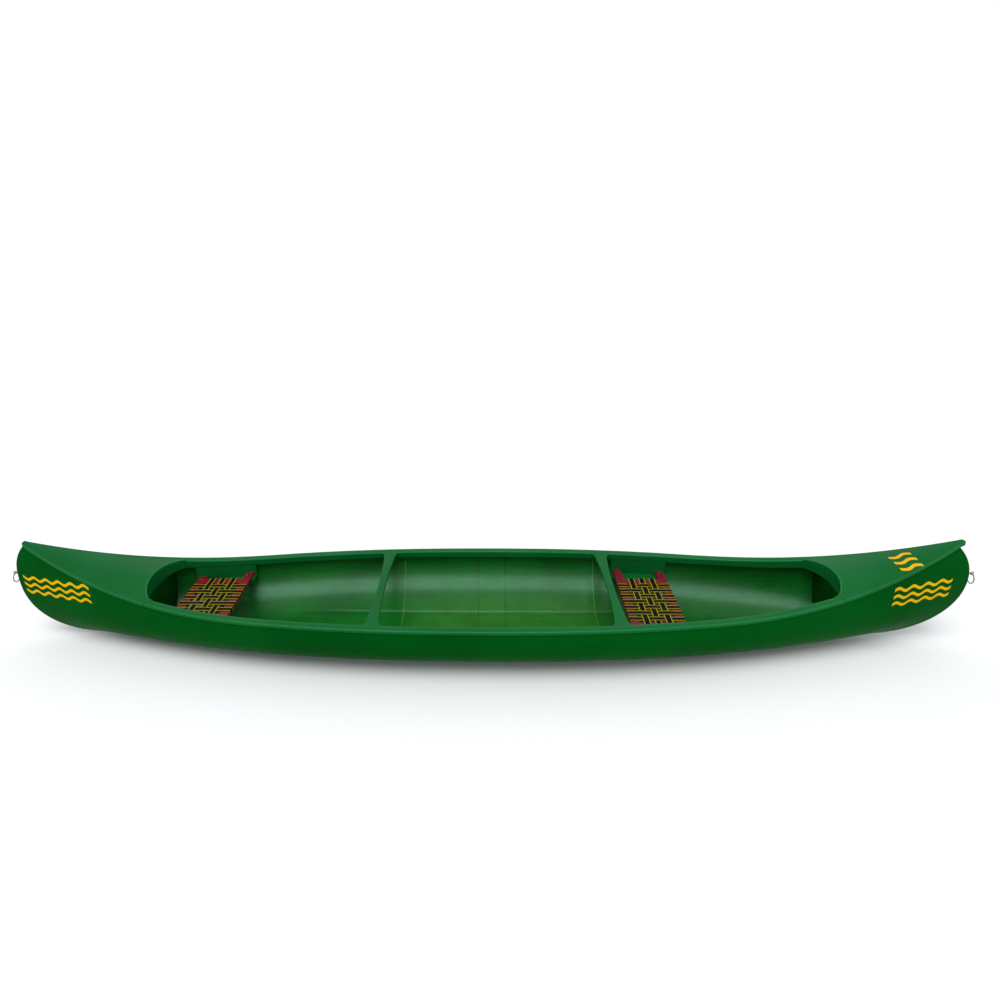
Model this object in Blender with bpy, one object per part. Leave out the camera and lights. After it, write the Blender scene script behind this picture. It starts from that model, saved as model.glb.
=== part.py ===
"""Open two-seat canoe of moulded laminate, as separate closed solids.

Metres. X runs along the canoe with the bow at +X, Y to port, Z up. The keel's
lowest face is z = 0 and the origin is midway between the two stems.
"""

import math

import bmesh
import bpy
from mathutils import Matrix, Vector

# Plan and sheer: the outer edge of the gunwales and decks.
TIP_X = 2.500
BEAM = 0.904
NOSE_HALF = 0.016
NOSE_TIP = 0.010
PLAN_POWER = 2.3
SHEER_LOW = 0.326
SHEER_RISE = 0.2715
SHEER_FLAT = 1.15
SHEER_POWER = 2.37

# Hull shell.
SKIN = 0.005
HULL_INSET = 0.0065
HULL_TOP_DROP = 0.0075
KEEL_DEPTH = 0.006
ROCKER_FLAT = 0.45
ROCKER_POWER = 2.2
STEM_X = 2.08
STEM_REACH = 0.492
STEM_Z = 0.37
STEM_UPPER = 0.323
BOW, STERN = 1, -1
ROCKER = {BOW: 0.030, STERN: 0.018}
STEM_POWER = {BOW: 2.1, STERN: 2.4}
STEM_HALF = 0.0108
STEM_NOSE = 0.006
STEM_SOLID = 0.025
SECTION_POWER_MID = 3.2
SECTION_POWER_LOSS = 1.2
SIDE_POWER = 2.3
RIB_HALF = 0.010
RIB_FLANK = 0.006
BILGE_RIB_Y = 0.210
CENTRE_RIB = (1.55, 2.00)
BILGE_RIB = (0.45, 1.30)
GROOVE = 0.004
HALF_STATIONS = 17
BILGE_COLUMNS = 6

# Gunwale caps.
CAP_WIDTH = 0.046
CAP_SKIN = 0.0048
CAP_ROUND = 0.004
LIP = 0.018
WALL_MID = 0.036
WALL_END = 0.044
GAP = 0.0004
SEAM_GAP = 0.0010

# Decks and bulkheads. A coaming is (outer edge, centre) as distances from midship, and
# its seam with the gunwale slants back towards midship across the cap.
BOW_COAMING = (1.849, 1.900)
STERN_COAMING = (1.746, 1.808)
SEAM_SLANT = 0.038
COAMING_WALL = 0.052
COAMING_BEAD = 0.003
COAMING_FACE = 0.006
DECK_CROWN = 0.018
DECK_NOSE = {BOW: 0.012, STERN: 0.0}
DECK_STATIONS = (0, 0.04, 0.1, 0.2, 0.32, 0.45, 0.58, 0.7, 0.8, 0.88, 0.94, 0.98)
BOW_BULKHEAD = 1.892
STERN_BULKHEAD = 1.788
BULKHEAD_SKIN = 0.005
BULKHEAD_FLANGE = 0.055

# Thwarts.
BOW_THWART_X = 0.725
STERN_THWART_X = -0.523
THWART_HALF = 0.0195
THWART_THICK = 0.022
THWART_DROP = 0.001
THWART_SPREAD = 0.0165
THWART_FLARE = 0.014
THWART_SHARES = (0.25, 0.5, 0.7, 0.85, 0.92, 0.96, 0.985, 1)

# Seats: outer x edges, top height, rail width and the frame's window.
SEAT_THICK = 0.020
BOW_SEAT = dict(x0=0.803, x1=1.089, top=0.228, rail=0.045, cross_in=0.205, cross_out=0.251,
                rows=7, row_pitch=0.0575, column_pitch=0.058, shelf=0.062,
                screws=((0.831, 0.341), (1.066, 0.320)))
STERN_SEAT = dict(x0=-1.651, x1=-1.338, top=0.247, rail=0.048, cross_in=0.165, cross_out=0.215,
                  rows=5, row_pitch=0.0627, column_pitch=0.062, shelf=0.034,
                  screws=((-1.628, 0.206), (-1.371, 0.257)))
COLUMNS_PER_SEAT = 3
WEB_WIDTH = 0.038
WEB_THICK = 0.0015
WEB_LEVEL = 0.0009
SHELF_OUT = 0.062
SHELF_APRON = 0.034
SHELF_RECESS = 0.007
SHELF_STEP = 0.007
SHELF_MARGIN = 0.012
BRACKET_GAP = 0.003
SCREW_RADIUS = 0.003
SCREW_HEAD = 0.0065
SCREW_PLAY = 0.0004

# Painter rings and their eyes.
RING_RADIUS = 0.027
RING_WIRE = 0.003
EYE_RADIUS = 0.008
EYE_WIRE = 0.0025
EYE_X = 2.592
EYE_Z = 0.406

GREEN = (0.010, 0.150, 0.035)
DARK_GREEN = (0.006, 0.090, 0.020)
RED = (0.330, 0.020, 0.035)
BLACK = (0.012, 0.012, 0.013)
STEEL = (0.620, 0.620, 0.600)


def clear_scene():
    for item in list(bpy.data.objects):
        bpy.data.objects.remove(item, do_unlink=True)


def material(name, colour, roughness, metallic=0.0):
    made = bpy.data.materials.new(name)
    made.use_nodes = True
    surface = made.node_tree.nodes["Principled BSDF"]
    surface.inputs["Base Color"].default_value = (*colour, 1.0)
    surface.inputs["Roughness"].default_value = roughness
    surface.inputs["Metallic"].default_value = metallic
    made.diffuse_color = (*colour, 1.0)
    return made


def add_object(name, bm, colour, roughness, metallic=0.0, sharp=35.0):
    """Turns a bmesh into a named object with its own material, faces outward."""
    bmesh.ops.recalc_face_normals(bm, faces=bm.faces)
    mesh = bpy.data.meshes.new(name)
    bm.to_mesh(mesh)
    bm.free()
    mesh.shade_smooth()
    mesh.set_sharp_from_angle(angle=math.radians(sharp))
    made = bpy.data.objects.new(name, mesh)
    mesh.materials.append(material(name, colour, roughness, metallic))
    bpy.context.scene.collection.objects.link(made)
    return made


def smooth(value):
    value = min(1.0, max(0.0, value))
    return value * value * (3 - 2 * value)


# ---------------------------------------------------------------- lines of the canoe
def rim_half(x):
    """Half-breadth of the outer gunwale edge."""
    share = min(1.0, abs(x) / TIP_X)
    return (BEAM / 2 - NOSE_HALF) * (1 - share**PLAN_POWER) + NOSE_HALF


def rim_slope(x):
    share = min(1.0, abs(x) / TIP_X)
    steep = (BEAM / 2 - NOSE_HALF) * PLAN_POWER / TIP_X * share ** (PLAN_POWER - 1)
    return -math.copysign(steep, x)


def sheer(x):
    """Height of the gunwale's top."""
    along = max(0.0, (abs(x) - SHEER_FLAT) / (TIP_X - SHEER_FLAT))
    return SHEER_LOW + SHEER_RISE * along**SHEER_POWER


def rim_point(x, side, inward, drop):
    """A point a distance inward from the outer edge, square to it in plan."""
    slope = rim_slope(x)
    stretch = math.hypot(1, slope)
    return Vector((x + inward * slope / stretch, side * (rim_half(x) - inward / stretch), sheer(x) - drop))


def seam_point(x, side, inward, drop):
    """The same distance inward from the outer edge, met on the cross-section at x."""
    return Vector((x, side * (rim_half(x) - inward * math.hypot(1, rim_slope(x))), sheer(x) - drop))


def inner_edge(x, extra=0.0):
    """Half-breadth at a distance inside the gunwale's inner face, for pieces cut square to X."""
    return rim_half(x) - (CAP_WIDTH + extra) * math.hypot(1, rim_slope(x))


def wall_depth(x):
    return WALL_MID + (WALL_END - WALL_MID) * smooth((abs(x) - 1.35) / 0.35)


def rocker(x):
    """Height of the ribs' flat lower faces."""
    along = max(0.0, (abs(x) - ROCKER_FLAT) / (STEM_X - ROCKER_FLAT))
    return ROCKER[BOW if x >= 0 else STERN] * along**ROCKER_POWER


def signed_power(value, power):
    return math.copysign(abs(value) ** power, value)


def stem_point(angle, end):
    """The stem's profile, a rounded arc. Angle 0 is its foot."""
    reach = STEM_REACH * signed_power(math.sin(angle), 2 / STEM_POWER[end])
    height = signed_power(-math.cos(angle), 2 / STEM_POWER[end])
    foot = STEM_Z - KEEL_DEPTH - rocker(end * STEM_X)
    return STEM_X + reach, STEM_Z + height * (foot if height < 0 else STEM_UPPER)


def stem_sweep(end):
    """The angle at which the stem's profile meets the underside of the deck."""
    low, high = math.pi / 2, math.pi
    for _ in range(60):
        middle = (low + high) / 2
        x, z = stem_point(middle, end)
        if z < sheer(x) - HULL_TOP_DROP:
            low = middle
        else:
            high = middle
    return low


# ---------------------------------------------------------------- hull
class Column:
    """One line of the hull, running from stem to stem at its own place on the girth."""

    def __init__(self, floor=None, bilge=None, rib=0.0, reach=(0.0, 1.0)):
        self.floor, self.bilge = floor, bilge
        self.rib, self.reach = rib, reach
        self.y0, self.z0 = self.section(0.0)
        self.ends = {}

    def end(self, s):
        """Distance and height at which the line meets the bow's stem, or the stern's if s is below 0."""
        return self.ends[BOW if s >= 0 else STERN]

    def section(self, x):
        """Half-breadth and height on the cross-section at x, without the ribs."""
        half = rim_half(x) - HULL_INSET * math.hypot(1, rim_slope(x))
        top = sheer(x) - HULL_TOP_DROP
        depth = top - KEEL_DEPTH - rocker(x)
        power = SECTION_POWER_MID - SECTION_POWER_LOSS * (x / TIP_X) ** 2
        widest = BILGE_RIB_Y + RIB_HALF + RIB_FLANK
        squeeze = (1 + (widest / (0.70 * half)) ** 8) ** (-1 / 8)
        if self.floor is not None:
            y = self.floor * squeeze
            return y, top - depth * (1 - (y / half) ** power) ** (1 / SIDE_POWER)
        start = math.asin((widest * squeeze / half) ** (power / 2))
        angle = start + (math.pi / 2 - start) * self.bilge
        y = half * math.sin(angle) ** (2 / power)
        return y, top - depth * max(0.0, math.cos(angle)) ** (2 / SIDE_POWER)

    def skin(self, s):
        """Outer skin at s, from -1 at the stern's stem to 1 at the bow's."""
        end_x, end_z = self.end(s)
        x = s * end_x
        along = min(1.0, abs(s))
        fade = 1 - along**PLAN_POWER
        fan_y = STEM_HALF + (self.y0 - STEM_HALF) * fade
        climb = max(0.0, (along - SHEER_FLAT / TIP_X) / (1 - SHEER_FLAT / TIP_X))
        fan_z = self.z0 + (end_z - self.z0) * climb**SHEER_POWER
        y, z = self.section(x)
        blend = along**10 if self.bilge == 1.0 else smooth((along - 0.5) / 0.5)
        if self.bilge == 1.0:
            return Vector((x, y + (fan_y - y) * blend, z))
        return Vector((x, y + (fan_y - y) * blend, z + (fan_z - z) * blend))

    def rib_share(self, x):
        return self.rib * (1 - smooth((abs(x) - self.reach[0]) / (self.reach[1] - self.reach[0])))


def hull_columns():
    foot = BILGE_RIB_Y - RIB_HALF
    head = BILGE_RIB_Y + RIB_HALF
    columns = [
        Column(floor=RIB_HALF, rib=1.0, reach=CENTRE_RIB),
        Column(floor=RIB_HALF + RIB_FLANK),
        Column(floor=0.08),
        Column(floor=0.145),
        Column(floor=foot - RIB_FLANK),
        Column(floor=foot, rib=1.0, reach=BILGE_RIB),
        Column(floor=head, rib=1.0, reach=BILGE_RIB),
        Column(floor=head + RIB_FLANK),
    ]
    columns += [Column(bilge=(k + 1) / BILGE_COLUMNS) for k in range(BILGE_COLUMNS)]
    lengths = [0.0]
    for before, after in zip(columns, columns[1:]):
        lengths.append(lengths[-1] + math.hypot(after.y0 - before.y0, after.z0 - before.z0))
    for end in (BOW, STERN):
        sweep = stem_sweep(end)
        for column, length in zip(columns, lengths):
            column.ends[end] = stem_point(sweep * length / lengths[-1], end)
    return columns


def hull_outer(columns, index, s):
    column = columns[index]
    point = column.skin(s)
    point.z += (rocker(point.x) - point.z) * column.rib_share(point.x)
    return point


def hull_inner(columns, index, s):
    """The inner skin: the outer one moved in along its normal, with shallow grooves at the ribs."""
    column = columns[index]
    s = s * (1 - STEM_SOLID / column.end(s)[0])
    step = 0.004
    here = column.skin(s)
    along = column.skin(min(1.0, s + step)) - column.skin(max(-1.0, s - step))
    below = columns[max(0, index - 1)].skin(s)
    above = columns[min(len(columns) - 1, index + 1)].skin(s)
    normal = along.cross(above - below).normalized()
    if index == 0:
        normal = Vector((0, 0, 1))
    if index == len(columns) - 1:
        normal.z = 0
        normal.normalize()
    if normal.dot(Vector((0, -1, 1))) < 0:
        normal.negate()
    point = here + normal * SKIN
    point.z -= GROOVE * column.rib_share(point.x)
    return point


def station_shares():
    shares = []
    for k in range(-HALF_STATIONS, HALF_STATIONS + 1):
        share = k / HALF_STATIONS
        shares.append(0.5 * share + 0.5 * math.sin(share * math.pi / 2))
    return shares


def hull_loop(bm, place, columns, index, nose):
    """A closed ring of vertices round the hull at one column: port, bow, starboard, stern."""
    shares = station_shares()
    port = [place(columns, index, s) for s in shares]
    starboard = [Vector((p.x, -p.y, p.z)) for p in reversed(port)]
    bow = Vector((port[-1].x + nose, 0, port[-1].z))
    stern = Vector((port[0].x - nose, 0, port[0].z))
    return [bm.verts.new(p) for p in [*port, bow, *starboard, stern]]


def skin_between(bm, lower, upper):
    count = len(lower)
    for k in range(count):
        after = (k + 1) % count
        bm.faces.new((lower[k], lower[after], upper[after], upper[k]))


def floor_strip(bm, ring):
    """Closes the bottom between the port and starboard halves of the lowest ring."""
    half = len(station_shares())
    port, bow = ring[:half], ring[half]
    starboard, stern = ring[half + 1:-1][::-1], ring[-1]
    for k in range(half - 1):
        bm.faces.new((port[k], port[k + 1], starboard[k + 1], starboard[k]))
    bm.faces.new((port[-1], bow, starboard[-1]))
    bm.faces.new((port[0], stern, starboard[0]))


def cutter(name, radius, start, end, sides=12):
    """A round cutting tool between two points, kept out of the build."""
    bm = bmesh.new()
    axis = end - start
    bmesh.ops.create_cone(bm, cap_ends=True, segments=sides, radius1=radius, radius2=radius,
                          depth=axis.length)
    turn = axis.to_track_quat("Z", "Y").to_matrix().to_4x4()
    bmesh.ops.transform(bm, matrix=Matrix.Translation((start + end) / 2) @ turn, verts=bm.verts)
    made = add_object(name, bm, STEEL, 0.5)
    made.hide_render = True
    made.display_type = "WIRE"
    return made


def boolean(target, tool, operation="DIFFERENCE"):
    step = target.modifiers.new(tool.name, "BOOLEAN")
    step.operation = operation
    step.solver = "EXACT"
    step.object = tool


def make_hull():
    columns = hull_columns()
    bm = bmesh.new()
    outer = [hull_loop(bm, hull_outer, columns, k, STEM_NOSE) for k in range(len(columns))]
    inner = [hull_loop(bm, hull_inner, columns, k, STEM_NOSE) for k in range(len(columns))]
    for rings in (outer, inner):
        for lower, upper in zip(rings, rings[1:]):
            skin_between(bm, lower, upper)
        floor_strip(bm, rings[0])
    skin_between(bm, outer[-1], inner[-1])
    bmesh.ops.triangulate(bm, faces=bm.faces)
    hull = add_object("hull", bm, GREEN, 0.18)
    for side, end in ((1, "bow"), (-1, "stern")):
        near = Vector((side * (STEM_X + STEM_REACH - 0.06), 0, EYE_Z))
        far = Vector((side * (STEM_X + STEM_REACH + 0.03), 0, EYE_Z))
        boolean(hull, cutter(f"{end}_stem_bore", EYE_WIRE + 0.0005, near, far))
    return columns


# ---------------------------------------------------------------- mouldings
def add_moulding(name, bm):
    """Turns a one-sided surface into a laminate of even thickness."""
    mesh = bpy.data.meshes.new(name)
    bm.to_mesh(mesh)
    bm.free()
    mesh.shade_smooth()
    mesh.set_sharp_from_angle(angle=math.radians(40))
    made = bpy.data.objects.new(name, mesh)
    mesh.materials.append(material(name, GREEN, 0.2))
    bpy.context.scene.collection.objects.link(made)
    step = made.modifiers.new("thickness", "SOLIDIFY")
    step.thickness = CAP_SKIN
    step.offset = -1.0
    step.use_even_offset = True
    step.use_rim = True
    return made


def add_grid(bm, rows):
    grid = [[bm.verts.new(p) for p in row] for row in rows]
    for before, after in zip(grid, grid[1:]):
        for k in range(len(before) - 1):
            bm.faces.new((before[k], before[k + 1], after[k + 1], after[k]))
    return grid


def sheet(name, rows, side):
    """A moulding through rows of points, its outer face towards the viewer on that side."""
    bm = bmesh.new()
    add_grid(bm, rows)
    if side < 0:
        bmesh.ops.reverse_faces(bm, faces=bm.faces)
    return add_moulding(name, bm)


def make_gunwales():
    start, end = -STERN_COAMING[0] + SEAM_GAP, BOW_COAMING[0] - SEAM_GAP
    count = 28
    for side, name in ((1, "port_gunwale"), (-1, "starboard_gunwale")):
        rows = []
        for k in range(count + 1):
            x = start + (end - start) * k / count
            profile = ((0, LIP), (0, CAP_ROUND), (CAP_ROUND, 0), (CAP_WIDTH - CAP_ROUND, 0),
                       (CAP_WIDTH, CAP_ROUND), (CAP_WIDTH, wall_depth(x)))
            slant = {0: SEAM_SLANT, count: -SEAM_SLANT}.get(k)
            if slant is None:
                rows.append([rim_point(x, side, inward, drop) for inward, drop in profile])
            else:
                rows.append([seam_point(x + slant * inward / CAP_WIDTH, side, inward, drop)
                             for inward, drop in profile])
        sheet(name, rows, side)


# ---------------------------------------------------------------- decks and bulkheads
def coaming_x(v, corner, coaming):
    """The coaming's line: an ellipse, then the slanting seam. corner is v at the cap's inner edge."""
    outer, centre = coaming
    if abs(v) >= corner:
        return outer - SEAM_SLANT * (1 - abs(v)) / (1 - corner)
    return centre - (centre - outer + SEAM_SLANT) * (1 - math.sqrt(1 - (v / corner) ** 2))


def deck_rows(end, coaming):
    """Rows of the deck's top from the coaming to the nose."""
    outer = coaming[0]
    corner = inner_edge(outer - SEAM_SLANT) / rim_point(outer - SEAM_SLANT, 1, CAP_ROUND, 0).y
    half = [corner * math.sin(math.radians(a)) for a in (22, 44, 62, 77, 90)] + [1.0]
    across = [-v for v in reversed(half)] + [0.0] + half
    rows = []
    for u in DECK_STATIONS:
        x_rim = outer + (TIP_X - outer) * u
        bend = (1 - u) ** 2
        crown = DECK_CROWN * (1 - u)
        row = []
        for v in across:
            x = x_rim + (coaming_x(v, corner, coaming) - outer) * bend
            edge = rim_point(x if abs(v) >= corner else x_rim, 1, CAP_ROUND, 0)
            row.append(Vector((end * x, v * edge.y, sheer(x) + crown * (1 - v * v) ** 1.5)))
        rows.append(row)
    last = TIP_X - CAP_ROUND + DECK_NOSE[end]
    rows.append([Vector((end * (last - CAP_ROUND * abs(v)), v * NOSE_TIP, sheer(TIP_X))) for v in across])
    return rows


def skirt(bm, upper, lower):
    for k in range(len(upper) - 1):
        bm.faces.new((upper[k], lower[k], lower[k + 1], upper[k + 1]))


def make_deck(end, name, coaming):
    bm = bmesh.new()
    grid = add_grid(bm, deck_rows(end, coaming))
    outline = [row[0] for row in grid] + grid[-1][1:-1] + [row[-1] for row in reversed(grid)]
    edge = []
    for k, corner in enumerate(outline):
        run = outline[min(len(outline) - 1, k + 1)].co - outline[max(0, k - 1)].co
        away = Vector((-end * run.y, end * run.x, 0)).normalized() * CAP_ROUND
        edge.append(bm.verts.new(corner.co - away - Vector((0, 0, CAP_ROUND))))
    lip = [bm.verts.new(v.co - Vector((0, 0, LIP - CAP_ROUND))) for v in edge]
    skirt(bm, outline, edge)
    skirt(bm, edge, lip)
    brink = grid[0][1:-1]
    bead, face = [], []
    for k, corner in enumerate(brink):
        run = brink[min(len(brink) - 1, k + 1)].co - brink[max(0, k - 1)].co
        inward = Vector((-end * run.y, end * run.x, 0)).normalized()
        bead.append(bm.verts.new(corner.co + inward * COAMING_FACE / 2 + Vector((0, 0, COAMING_BEAD))))
        face.append(bm.verts.new(corner.co + inward * COAMING_FACE))
    foot = [bm.verts.new((v.co.x, v.co.y, sheer(coaming[0]) - COAMING_WALL)) for v in face]
    for upper, lower in ((brink, bead), (bead, face), (face, foot)):
        skirt(bm, upper, lower)
    bmesh.ops.recalc_face_normals(bm, faces=bm.faces)
    middle = grid[len(grid) // 2][len(grid[0]) // 2]
    if sum(f.normal.z for f in middle.link_faces) < 0:
        bmesh.ops.reverse_faces(bm, faces=bm.faces)
    add_moulding(name, bm)


def hull_inside(columns, x, clearance):
    """Points of the hull's inner cross-section at x, from keel to sheer, moved in by a clearance."""
    points = []
    for index, column in enumerate(columns):
        s = x / (column.end(x)[0] - STEM_SOLID)
        point = hull_inner(columns, index, s)
        points.append((max(0.002, point.y - clearance), point.z + clearance + GROOVE * column.rib_share(x)))
    return points


def make_bulkhead(columns, end, name, x, coaming):
    far = end * (x + BULKHEAD_SKIN)
    top = sheer(coaming[0]) - COAMING_WALL - 0.0012
    inside = [p for p in hull_inside(columns, far, 0.0016) if p[1] < top - 0.004]
    outside = [p for p in hull_inside(columns, far, 0.0016) if p[1] >= top - 0.004]
    low, high = inside[-1], outside[0]
    share = (top - low[1]) / (high[1] - low[1])
    inside.append((low[0] + (high[0] - low[0]) * share, top))
    bm = bmesh.new()
    outline = [(y, z) for y, z in inside] + [(-y, z) for y, z in reversed(inside)]
    face = bm.faces.new([bm.verts.new((end * x, y, z)) for y, z in outline])
    moved = bmesh.ops.extrude_face_region(bm, geom=[face])["geom"]
    shift = Vector((end * BULKHEAD_SKIN, 0, 0))
    bmesh.ops.translate(bm, vec=shift, verts=[v for v in moved if isinstance(v, bmesh.types.BMVert)])
    bulkhead = add_object(name, bm, DARK_GREEN, 0.3)
    bm = bmesh.new()
    reach = end * (x + BULKHEAD_FLANGE)
    width = 2 * (min(p[0] for p in hull_inside(columns, reach, 0.004) if p[1] > top - 0.03) - 0.001)
    size = Vector((BULKHEAD_FLANGE, width, BULKHEAD_SKIN))
    centre = Vector((end * (x + BULKHEAD_FLANGE / 2), 0, top - BULKHEAD_SKIN / 2))
    bmesh.ops.create_cube(bm, size=1.0, matrix=Matrix.Translation(centre) @ Matrix.Diagonal((*size, 1)))
    flange = add_object(name + "_flange_guide", bm, DARK_GREEN, 0.3)
    flange.hide_render = True
    flange.display_type = "WIRE"
    boolean(bulkhead, flange, "UNION")


# ---------------------------------------------------------------- thwarts
def make_thwart(name, centre_x):
    bm = bmesh.new()
    shares = [-t for t in reversed(THWART_SHARES)] + [0, *THWART_SHARES]
    top, bottom = [], []
    for t in shares:
        half = THWART_HALF + THWART_SPREAD * t * t + THWART_FLARE * max(0.0, (abs(t) - 0.88) / 0.12) ** 2
        for level, rows in ((-THWART_DROP, top), (-THWART_DROP - THWART_THICK, bottom)):
            row = []
            for edge in (-1, 1):
                x = centre_x + edge * half
                row.append(bm.verts.new((x, t * (inner_edge(x) - GAP), sheer(centre_x) + level)))
            rows.append(row)
    for k in range(len(shares) - 1):
        for rows in (top, bottom):
            bm.faces.new((rows[k][0], rows[k][1], rows[k + 1][1], rows[k + 1][0]))
        for edge in (0, 1):
            bm.faces.new((top[k][edge], top[k + 1][edge], bottom[k + 1][edge], bottom[k][edge]))
    for k in (0, -1):
        bm.faces.new((top[k][0], top[k][1], bottom[k][1], bottom[k][0]))
    add_object(name, bm, GREEN, 0.2)


# ---------------------------------------------------------------- seats
def make_brackets(seat_name, seat):
    shelf = seat["top"] - SEAT_THICK - GAP
    first, last, rail = seat["x0"], seat["x1"], seat["rail"]
    outer = (first - SHELF_MARGIN, last + SHELF_MARGIN)
    edges = (first + rail + SHELF_STEP, last - rail - SHELF_STEP)
    middle = [edges[0] + (edges[1] - edges[0]) * k / 3 for k in range(4)]
    stations = [outer[0], first + rail, *middle, last - rail, outer[1]]
    for side, side_name in ((1, "port"), (-1, "starboard")):
        rows = []
        for x in stations:
            between = edges[0] - GAP < x < edges[1] + GAP
            level = shelf - (SHELF_RECESS if between else 0.0)
            wall, brink = inner_edge(x), inner_edge(x, seat["shelf"] if between else SHELF_OUT)
            profile = ((wall, sheer(x) - wall_depth(x) - BRACKET_GAP), (wall, level), (brink, level),
                       (brink, shelf - SHELF_APRON))
            rows.append([Vector((x, side * y, z)) for y, z in profile])
        name = f"{seat_name}_{side_name}_bracket"
        bracket = sheet(name, rows, side)
        for k, (x, y) in enumerate(seat["screws"]):
            start, end = Vector((x, side * y, shelf - 0.02)), Vector((x, side * y, shelf + 0.004))
            boolean(bracket, cutter(f"{name}_bore_{k}", SCREW_RADIUS + SCREW_PLAY, start, end, 10))


def make_seat_frame(seat_name, seat):
    """One board: two long rails, two crosspieces, a window between them."""
    x0, x1, rail = seat["x0"], seat["x1"], seat["rail"]
    bottom = seat["top"] - SEAT_THICK
    xs = (x0, x0 + rail, x1 - rail, x1)
    bm = bmesh.new()

    def corner(i, j):
        if j in (0, 5):
            y = inner_edge(xs[i], 0.0025)
        else:
            y = seat["cross_out"] if j in (1, 4) else seat["cross_in"]
        return bm.verts.new((xs[i], y if j > 2 else -y, bottom))

    grid = [[corner(i, j) for j in range(6)] for i in range(4)]
    faces = []
    for i in range(3):
        for j in range(5):
            if i != 1 or j in (1, 3):
                corners = (grid[i][j], grid[i + 1][j], grid[i + 1][j + 1], grid[i][j + 1])
                faces.append(bm.faces.new(corners))
    moved = bmesh.ops.extrude_face_region(bm, geom=faces)["geom"]
    raised = [v for v in moved if isinstance(v, bmesh.types.BMVert)]
    bmesh.ops.translate(bm, vec=(0, 0, SEAT_THICK), verts=raised)
    bmesh.ops.recalc_face_normals(bm, faces=bm.faces)
    posts = []
    for edge in bm.edges:
        low, high = edge.verts
        upright = (low.co - high.co).xy.length < 1e-6
        on_rail = min(abs(low.co.x - xs[1]), abs(low.co.x - xs[2])) < 1e-6
        if upright and on_rail and abs(low.co.y) < seat["cross_out"] + 0.001:
            posts.append(edge)
    bmesh.ops.bevel(bm, geom=posts, offset=0.009, segments=3, profile=0.5, affect="EDGES")
    frame = add_object(f"{seat_name}_frame", bm, RED, 0.45)
    for side in (1, -1):
        for k, (x, y) in enumerate(seat["screws"]):
            start, end = Vector((x, side * y, bottom - 0.01)), Vector((x, side * y, seat["top"] + 0.01))
            tool = f"{seat_name}_frame_bore_{side}_{k}"
            boolean(frame, cutter(tool, SCREW_RADIUS + SCREW_PLAY, start, end, 10))


def band(name, path, across, start, width):
    """A flat strap along a path of (run, height) points, lying across from start."""
    bm = bmesh.new()
    left, right = [], []
    for k, (run, height) in enumerate(path):
        before, after = path[max(0, k - 1)], path[min(len(path) - 1, k + 1)]
        first = Vector((run - before[0], height - before[1]))
        second = Vector((after[0] - run, after[1] - height))
        first = first.normalized() if first.length > 0 else second.normalized()
        second = second.normalized() if second.length > 0 else first
        middle = (first + second).normalized()
        normal = Vector((-middle.y, middle.x)) * (WEB_THICK / 2 / max(0.5, middle.dot(first)))
        left.append(Vector((run, height)) + normal)
        right.append(Vector((run, height)) - normal)
    rings = []
    for a, b in zip(left, right):
        ring = []
        for spot, side in ((a, -1), (a, 1), (b, 1), (b, -1)):
            place = start + side * width / 2
            point = (spot.x, place, spot.y) if across == "Y" else (place, spot.x, spot.y)
            ring.append(bm.verts.new(point))
        rings.append(ring)
    for before, after in zip(rings, rings[1:]):
        for k in range(4):
            bm.faces.new((before[k], before[(k + 1) % 4], after[(k + 1) % 4], after[k]))
    bm.faces.new(rings[0])
    bm.faces.new(rings[-1])
    add_object(name, bm, BLACK, 0.7, sharp=50)


def strap_path(low, high, board, top, bottom, crossings, over):
    """Round one rail, over and under the crossing straps, and round the other rail."""
    skin = 0.0003 + WEB_THICK / 2
    level = top + skin + WEB_LEVEL
    turn = 0.0006
    tab = board - 0.008
    under = bottom - skin
    lead = [(low + tab, under), (low - skin + turn, under), (low - skin, under + turn),
            (low - skin, level - turn), (low - skin + turn, level)]
    middle = []
    hold = WEB_WIDTH / 2 + 0.0012
    for k, place in enumerate(crossings):
        height = level + (WEB_LEVEL if over(k) else -WEB_LEVEL)
        middle += [(place - hold, height), (place + hold, height)]
    trail = [(high + low - run, height) for run, height in reversed(lead)]
    return lead + middle + trail


def make_straps(seat_name, seat):
    x0, x1 = seat["x0"], seat["x1"]
    centre = (x0 + x1) / 2
    top, bottom = seat["top"], seat["top"] - SEAT_THICK
    rows, columns = seat["rows"], COLUMNS_PER_SEAT
    row_y = [seat["row_pitch"] * ((rows - 1) / 2 - k) for k in range(rows)]
    column_x = [centre + seat["column_pitch"] * (k - (columns - 1) / 2) for k in range(columns)]
    for r, y in enumerate(row_y):
        path = strap_path(x0, x1, seat["rail"], top, bottom, column_x, lambda k, r=r: (r + k) % 2 == 1)
        band(f"{seat_name}_long_strap_{r + 1}", path, "Y", y, WEB_WIDTH)
    for c, x in enumerate(column_x):
        edge = seat["cross_out"]
        board = seat["cross_out"] - seat["cross_in"]
        path = strap_path(-edge, edge, board, top, bottom, row_y[::-1], lambda k, c=c: (k + c) % 2 == 0)
        band(f"{seat_name}_cross_strap_{c + 1}", path, "X", x, WEB_WIDTH)


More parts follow.
